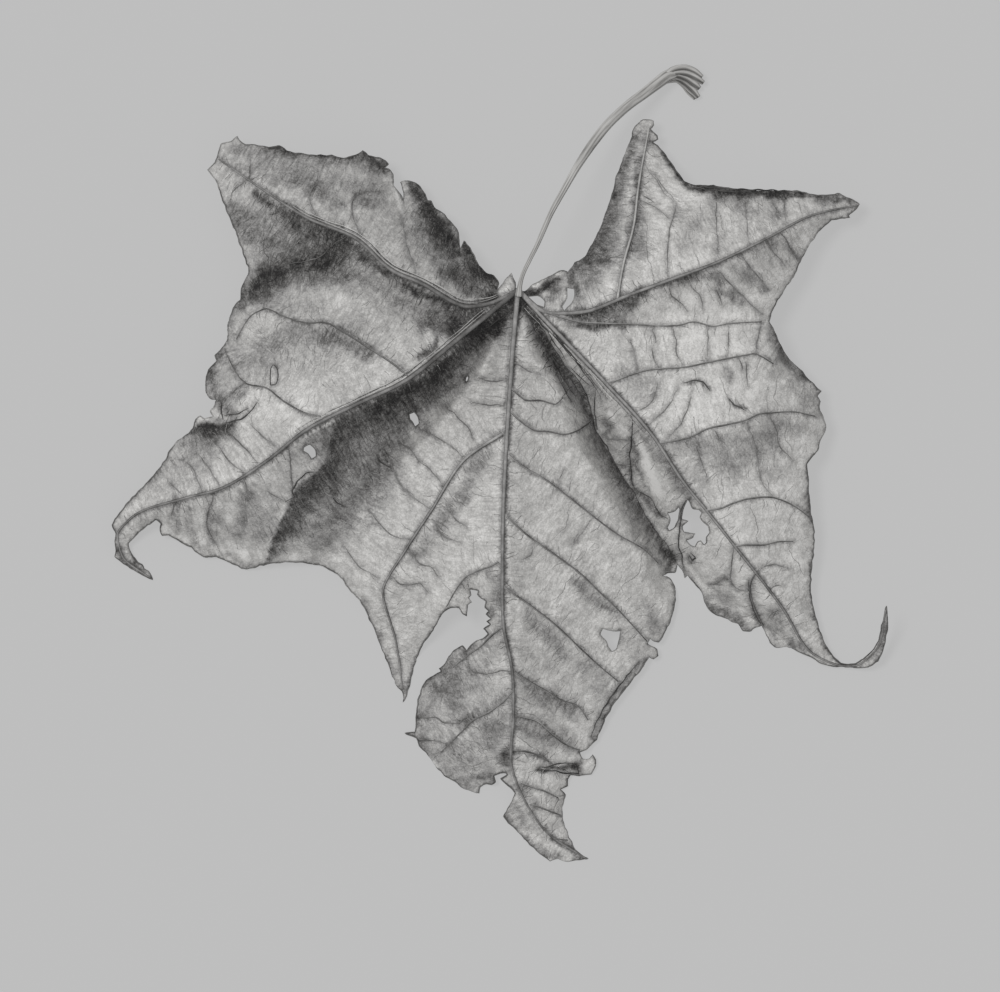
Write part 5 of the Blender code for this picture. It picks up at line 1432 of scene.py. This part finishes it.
# Points and radii along it, and along each finger, from the joint outwards.
STALK = [
    (0.1, -1.2, 13.5, 0.75), (0.3, 0.6, 13.9, 0.5), (0.9, 3, 14.6, 0.42), (2.3, 6, 15.4, 0.42),
    (3.8, 9, 16, 0.46), (5.1, 12, 16.4, 0.52), (6.4, 15, 16.6, 0.55), (8, 18, 16.5, 0.6),
    (9.7, 21, 16.1, 0.66), (11.4, 24, 15.3, 0.74), (13.3, 27, 14.2, 0.84), (15.4, 30, 12.8, 0.92),
    (17.8, 33, 11.2, 0.95), (19.8, 35, 9.9, 0.95), (22.2, 37.1, 8.4, 0.97), (25.3, 39.4, 6.4, 1.05),
    (27.9, 41.4, 4.7, 1.15), (30, 42.9, 3.4, 1.2), (31.2, 43.2, 2.9, 0.95), (32.2, 43.2, 2.6, 0.4),
]
FINGERS = [
    [(28.9, 42.3, 3.9, 0.7), (31, 43.9, 3.2, 0.9), (33.4, 44.3, 2.6, 0.95), (35.3, 43.6, 2.2, 0.9),
     (36.8, 42.6, 2, 0.5)],
    [(29.2, 42.4, 3.9, 0.6), (31.5, 43.3, 3.1, 0.75), (33.8, 43.2, 2.6, 0.8), (35.8, 42.3, 2.2, 0.8),
     (37.1, 41.5, 1.9, 0.45)],
    [(29.4, 42.2, 3.8, 0.6), (31.6, 42.9, 2.9, 0.7), (33.7, 42.2, 2.2, 0.8), (35.3, 41.1, 1.8, 0.85),
     (36.3, 40.4, 1.5, 0.5)],
    [(29.6, 41.9, 3.5, 0.6), (31.5, 42.4, 2.5, 0.65), (33.3, 41.4, 1.8, 0.7), (34.9, 40, 1.4, 0.8),
     (36.1, 38.6, 1.1, 0.5)],
    [(29.9, 41.9, 3.3, 0.5), (31.8, 42, 2.1, 0.5), (33.2, 40.9, 1.5, 0.5), (34.3, 39.7, 1.2, 0.6),
     (35.5, 38.3, 0.9, 0.4)],
]
STALK_STEP = 0.4
# How many ribs run along it, how deep they are as a share of its radius, and its number of sides.
STALK_RIBS = (7, 0.05, 42)
FINGER_RIBS = (3, 0.16, 24)
# How dark the painted shade in the furrows between the ribs is, on the stalk and on its fingers.
STALK_FURROWS, FINGER_FURROWS = 0.4, 1.4


def ribbed(rod, ribs, depth, sides):
    """A tube along (x, y, z, radius) points, with ribs that run its whole length. It comes with where each
    point is along and round the rod, for the grain, and how deep it lies between the ribs, for the painted
    shade of the furrows."""
    path = curve_through(rod, STALK_STEP, closed=False)
    points, faces = tube(path[:, :3], path[:, 3], sides)
    rings = points.reshape(len(path), sides, 3)
    around = np.arange(sides) * math.tau / sides
    swell = 1 + depth * np.cos(ribs * around)[None, :, None]
    rings = path[:, None, :3] + (rings - path[:, None, :3]) * swell
    along_rod = np.arange(len(path))[:, None] * np.full(sides, STALK_STEP)
    grain = np.stack([along_rod, np.broadcast_to(np.cos(around), along_rod.shape),
                      np.broadcast_to(np.sin(around), along_rod.shape)], axis=2)
    furrow = np.broadcast_to((0.5 - 0.5 * np.cos(ribs * around)) ** 2, along_rod.shape)
    return rings.reshape(-1, 3), faces, grain.reshape(-1, 3), furrow.ravel()


rods = [ribbed(STALK, *STALK_RIBS)] + [ribbed(finger, *FINGER_RIBS) for finger in FINGERS]
stalk_points, stalk_faces = joined([rod[:2] for rod in rods])
stalk = add_mesh("stalk", stalk_points + shift, stalk_faces)
furrows = [STALK_FURROWS * rods[0][3]] + [FINGER_FURROWS * rod[3] for rod in rods[1:]]
add_values(stalk.data, "grain", "FLOAT_VECTOR", np.vstack([rod[2] for rod in rods]))
add_values(stalk.data, "furrow", "FLOAT", np.hstack(furrows))

STALK_GREYS = ["#C4C3C1", "#B7B6B4", "#A6A5A3", "#787775", "#474645"]
GRAIN_STRETCH = (0.12, 1.6, 1.6)
FURROW_SHADE = 0.42


def dry_stalk_wood():
    """Dry petiole: stiff woody fibre, mid grey, with a grain along its length and painted shade in the
    furrows between its ribs.
    """
    material, tree = new_material("dry_stalk_wood")
    place = add_node(tree, "ShaderNodeAttribute", attribute_name="grain").outputs["Vector"]
    furrow = add_node(tree, "ShaderNodeAttribute", attribute_name="furrow").outputs["Fac"]
    long_way = add_node(tree, "ShaderNodeVectorMath", {0: place, 1: GRAIN_STRETCH}, operation="MULTIPLY")
    grain = add_node(tree, "ShaderNodeTexNoise", {"Vector": long_way.outputs[0], "Scale": 1.6,
                                                  "Detail": 4.0})
    tone = add_node(tree, "ShaderNodeMath", {0: furrow, 1: FURROW_SHADE, 2: grain.outputs["Fac"]},
                    operation="MULTIPLY_ADD")
    colour = add_node(tree, "ShaderNodeValToRGB", {"Fac": tone.outputs[0]}, stops=STALK_GREYS)
    bump = add_node(tree, "ShaderNodeBump", {"Height": grain.outputs["Fac"], "Strength": 0.5,
                                             "Distance": 0.1 * MM})
    shader = add_node(tree, "ShaderNodeBsdfPrincipled", {
        "Base Color": colour.outputs["Color"], "Roughness": 0.65, "Specular IOR Level": 0.3,
        "Normal": bump.outputs[0]})
    add_node(tree, "ShaderNodeOutputMaterial", {"Surface": shader.outputs[0]})
    return material


stalk.data.materials.append(dry_stalk_wood())
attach(stalk, "root")
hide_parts("leaf_stalk")


# ---- Floor, light and camera ------------------------------------------------------------------------
# A plain pale grey floor that glows like a light table, so that it takes only a breath of shadow, under an
# even sky as bright as itself, so that no horizon shows. One broad soft light comes from the upper left,
# and the camera looks straight down, without perspective.

FLOOR_SIZE = 3.0
FLOOR_GREY = linear("#BDBDBD")
FLOOR_GLOW = 0.85
LIGHT_STRENGTH = 2.02
LIGHT_SPREAD = math.radians(18)
TOWARDS_LIGHT = Vector((-0.32, 0.20, 0.93))
VIEW_WIDTH = 0.2
VIEW_MIDDLE = (-3.6, -41.2)
CAMERA_HEIGHT = 0.6

half = FLOOR_SIZE / 2
corners = [(-half, -half, 0), (half, -half, 0), (half, half, 0), (-half, half, 0)]
floor_mesh = bpy.data.meshes.new("floor")
floor_mesh.from_pydata(corners, [], [(0, 1, 2, 3)])
floor = bpy.data.objects.new("floor", floor_mesh)
bpy.context.scene.collection.objects.link(floor)
light_table, floor_tree = new_material("pale_light_table")
matt = add_node(floor_tree, "ShaderNodeBsdfDiffuse", {"Color": FLOOR_GREY})
glow = add_node(floor_tree, "ShaderNodeEmission", {"Color": FLOOR_GREY, "Strength": 1.0})
lit = add_node(floor_tree, "ShaderNodeMixShader", {0: FLOOR_GLOW, 1: matt.outputs[0], 2: glow.outputs[0]})
add_node(floor_tree, "ShaderNodeOutputMaterial", {"Surface": lit.outputs[0]})
floor.data.materials.append(light_table)

world = bpy.data.worlds.new("even_sky")
bpy.context.scene.world = world
world.use_nodes = True
world.node_tree.nodes["Background"].inputs["Color"].default_value = FLOOR_GREY
world.node_tree.nodes["Background"].inputs["Strength"].default_value = 1.0

broad_light = bpy.data.lights.new("window", "SUN")
broad_light.energy = LIGHT_STRENGTH
broad_light.angle = LIGHT_SPREAD
window = bpy.data.objects.new("window", broad_light)
window.rotation_euler = TOWARDS_LIGHT.to_track_quat("Z", "Y").to_euler()
bpy.context.scene.collection.objects.link(window)

camera_data = bpy.data.cameras.new("straight_down")
camera_data.type = "ORTHO"
camera_data.ortho_scale = VIEW_WIDTH
camera = bpy.data.objects.new("straight_down", camera_data)
camera.location = ((VIEW_MIDDLE[0] + shift[0]) * MM, (VIEW_MIDDLE[1] + shift[1]) * MM, CAMERA_HEIGHT)
bpy.context.scene.collection.objects.link(camera)
bpy.context.scene.camera = camera
bpy.context.scene.view_settings.view_transform = "Standard"
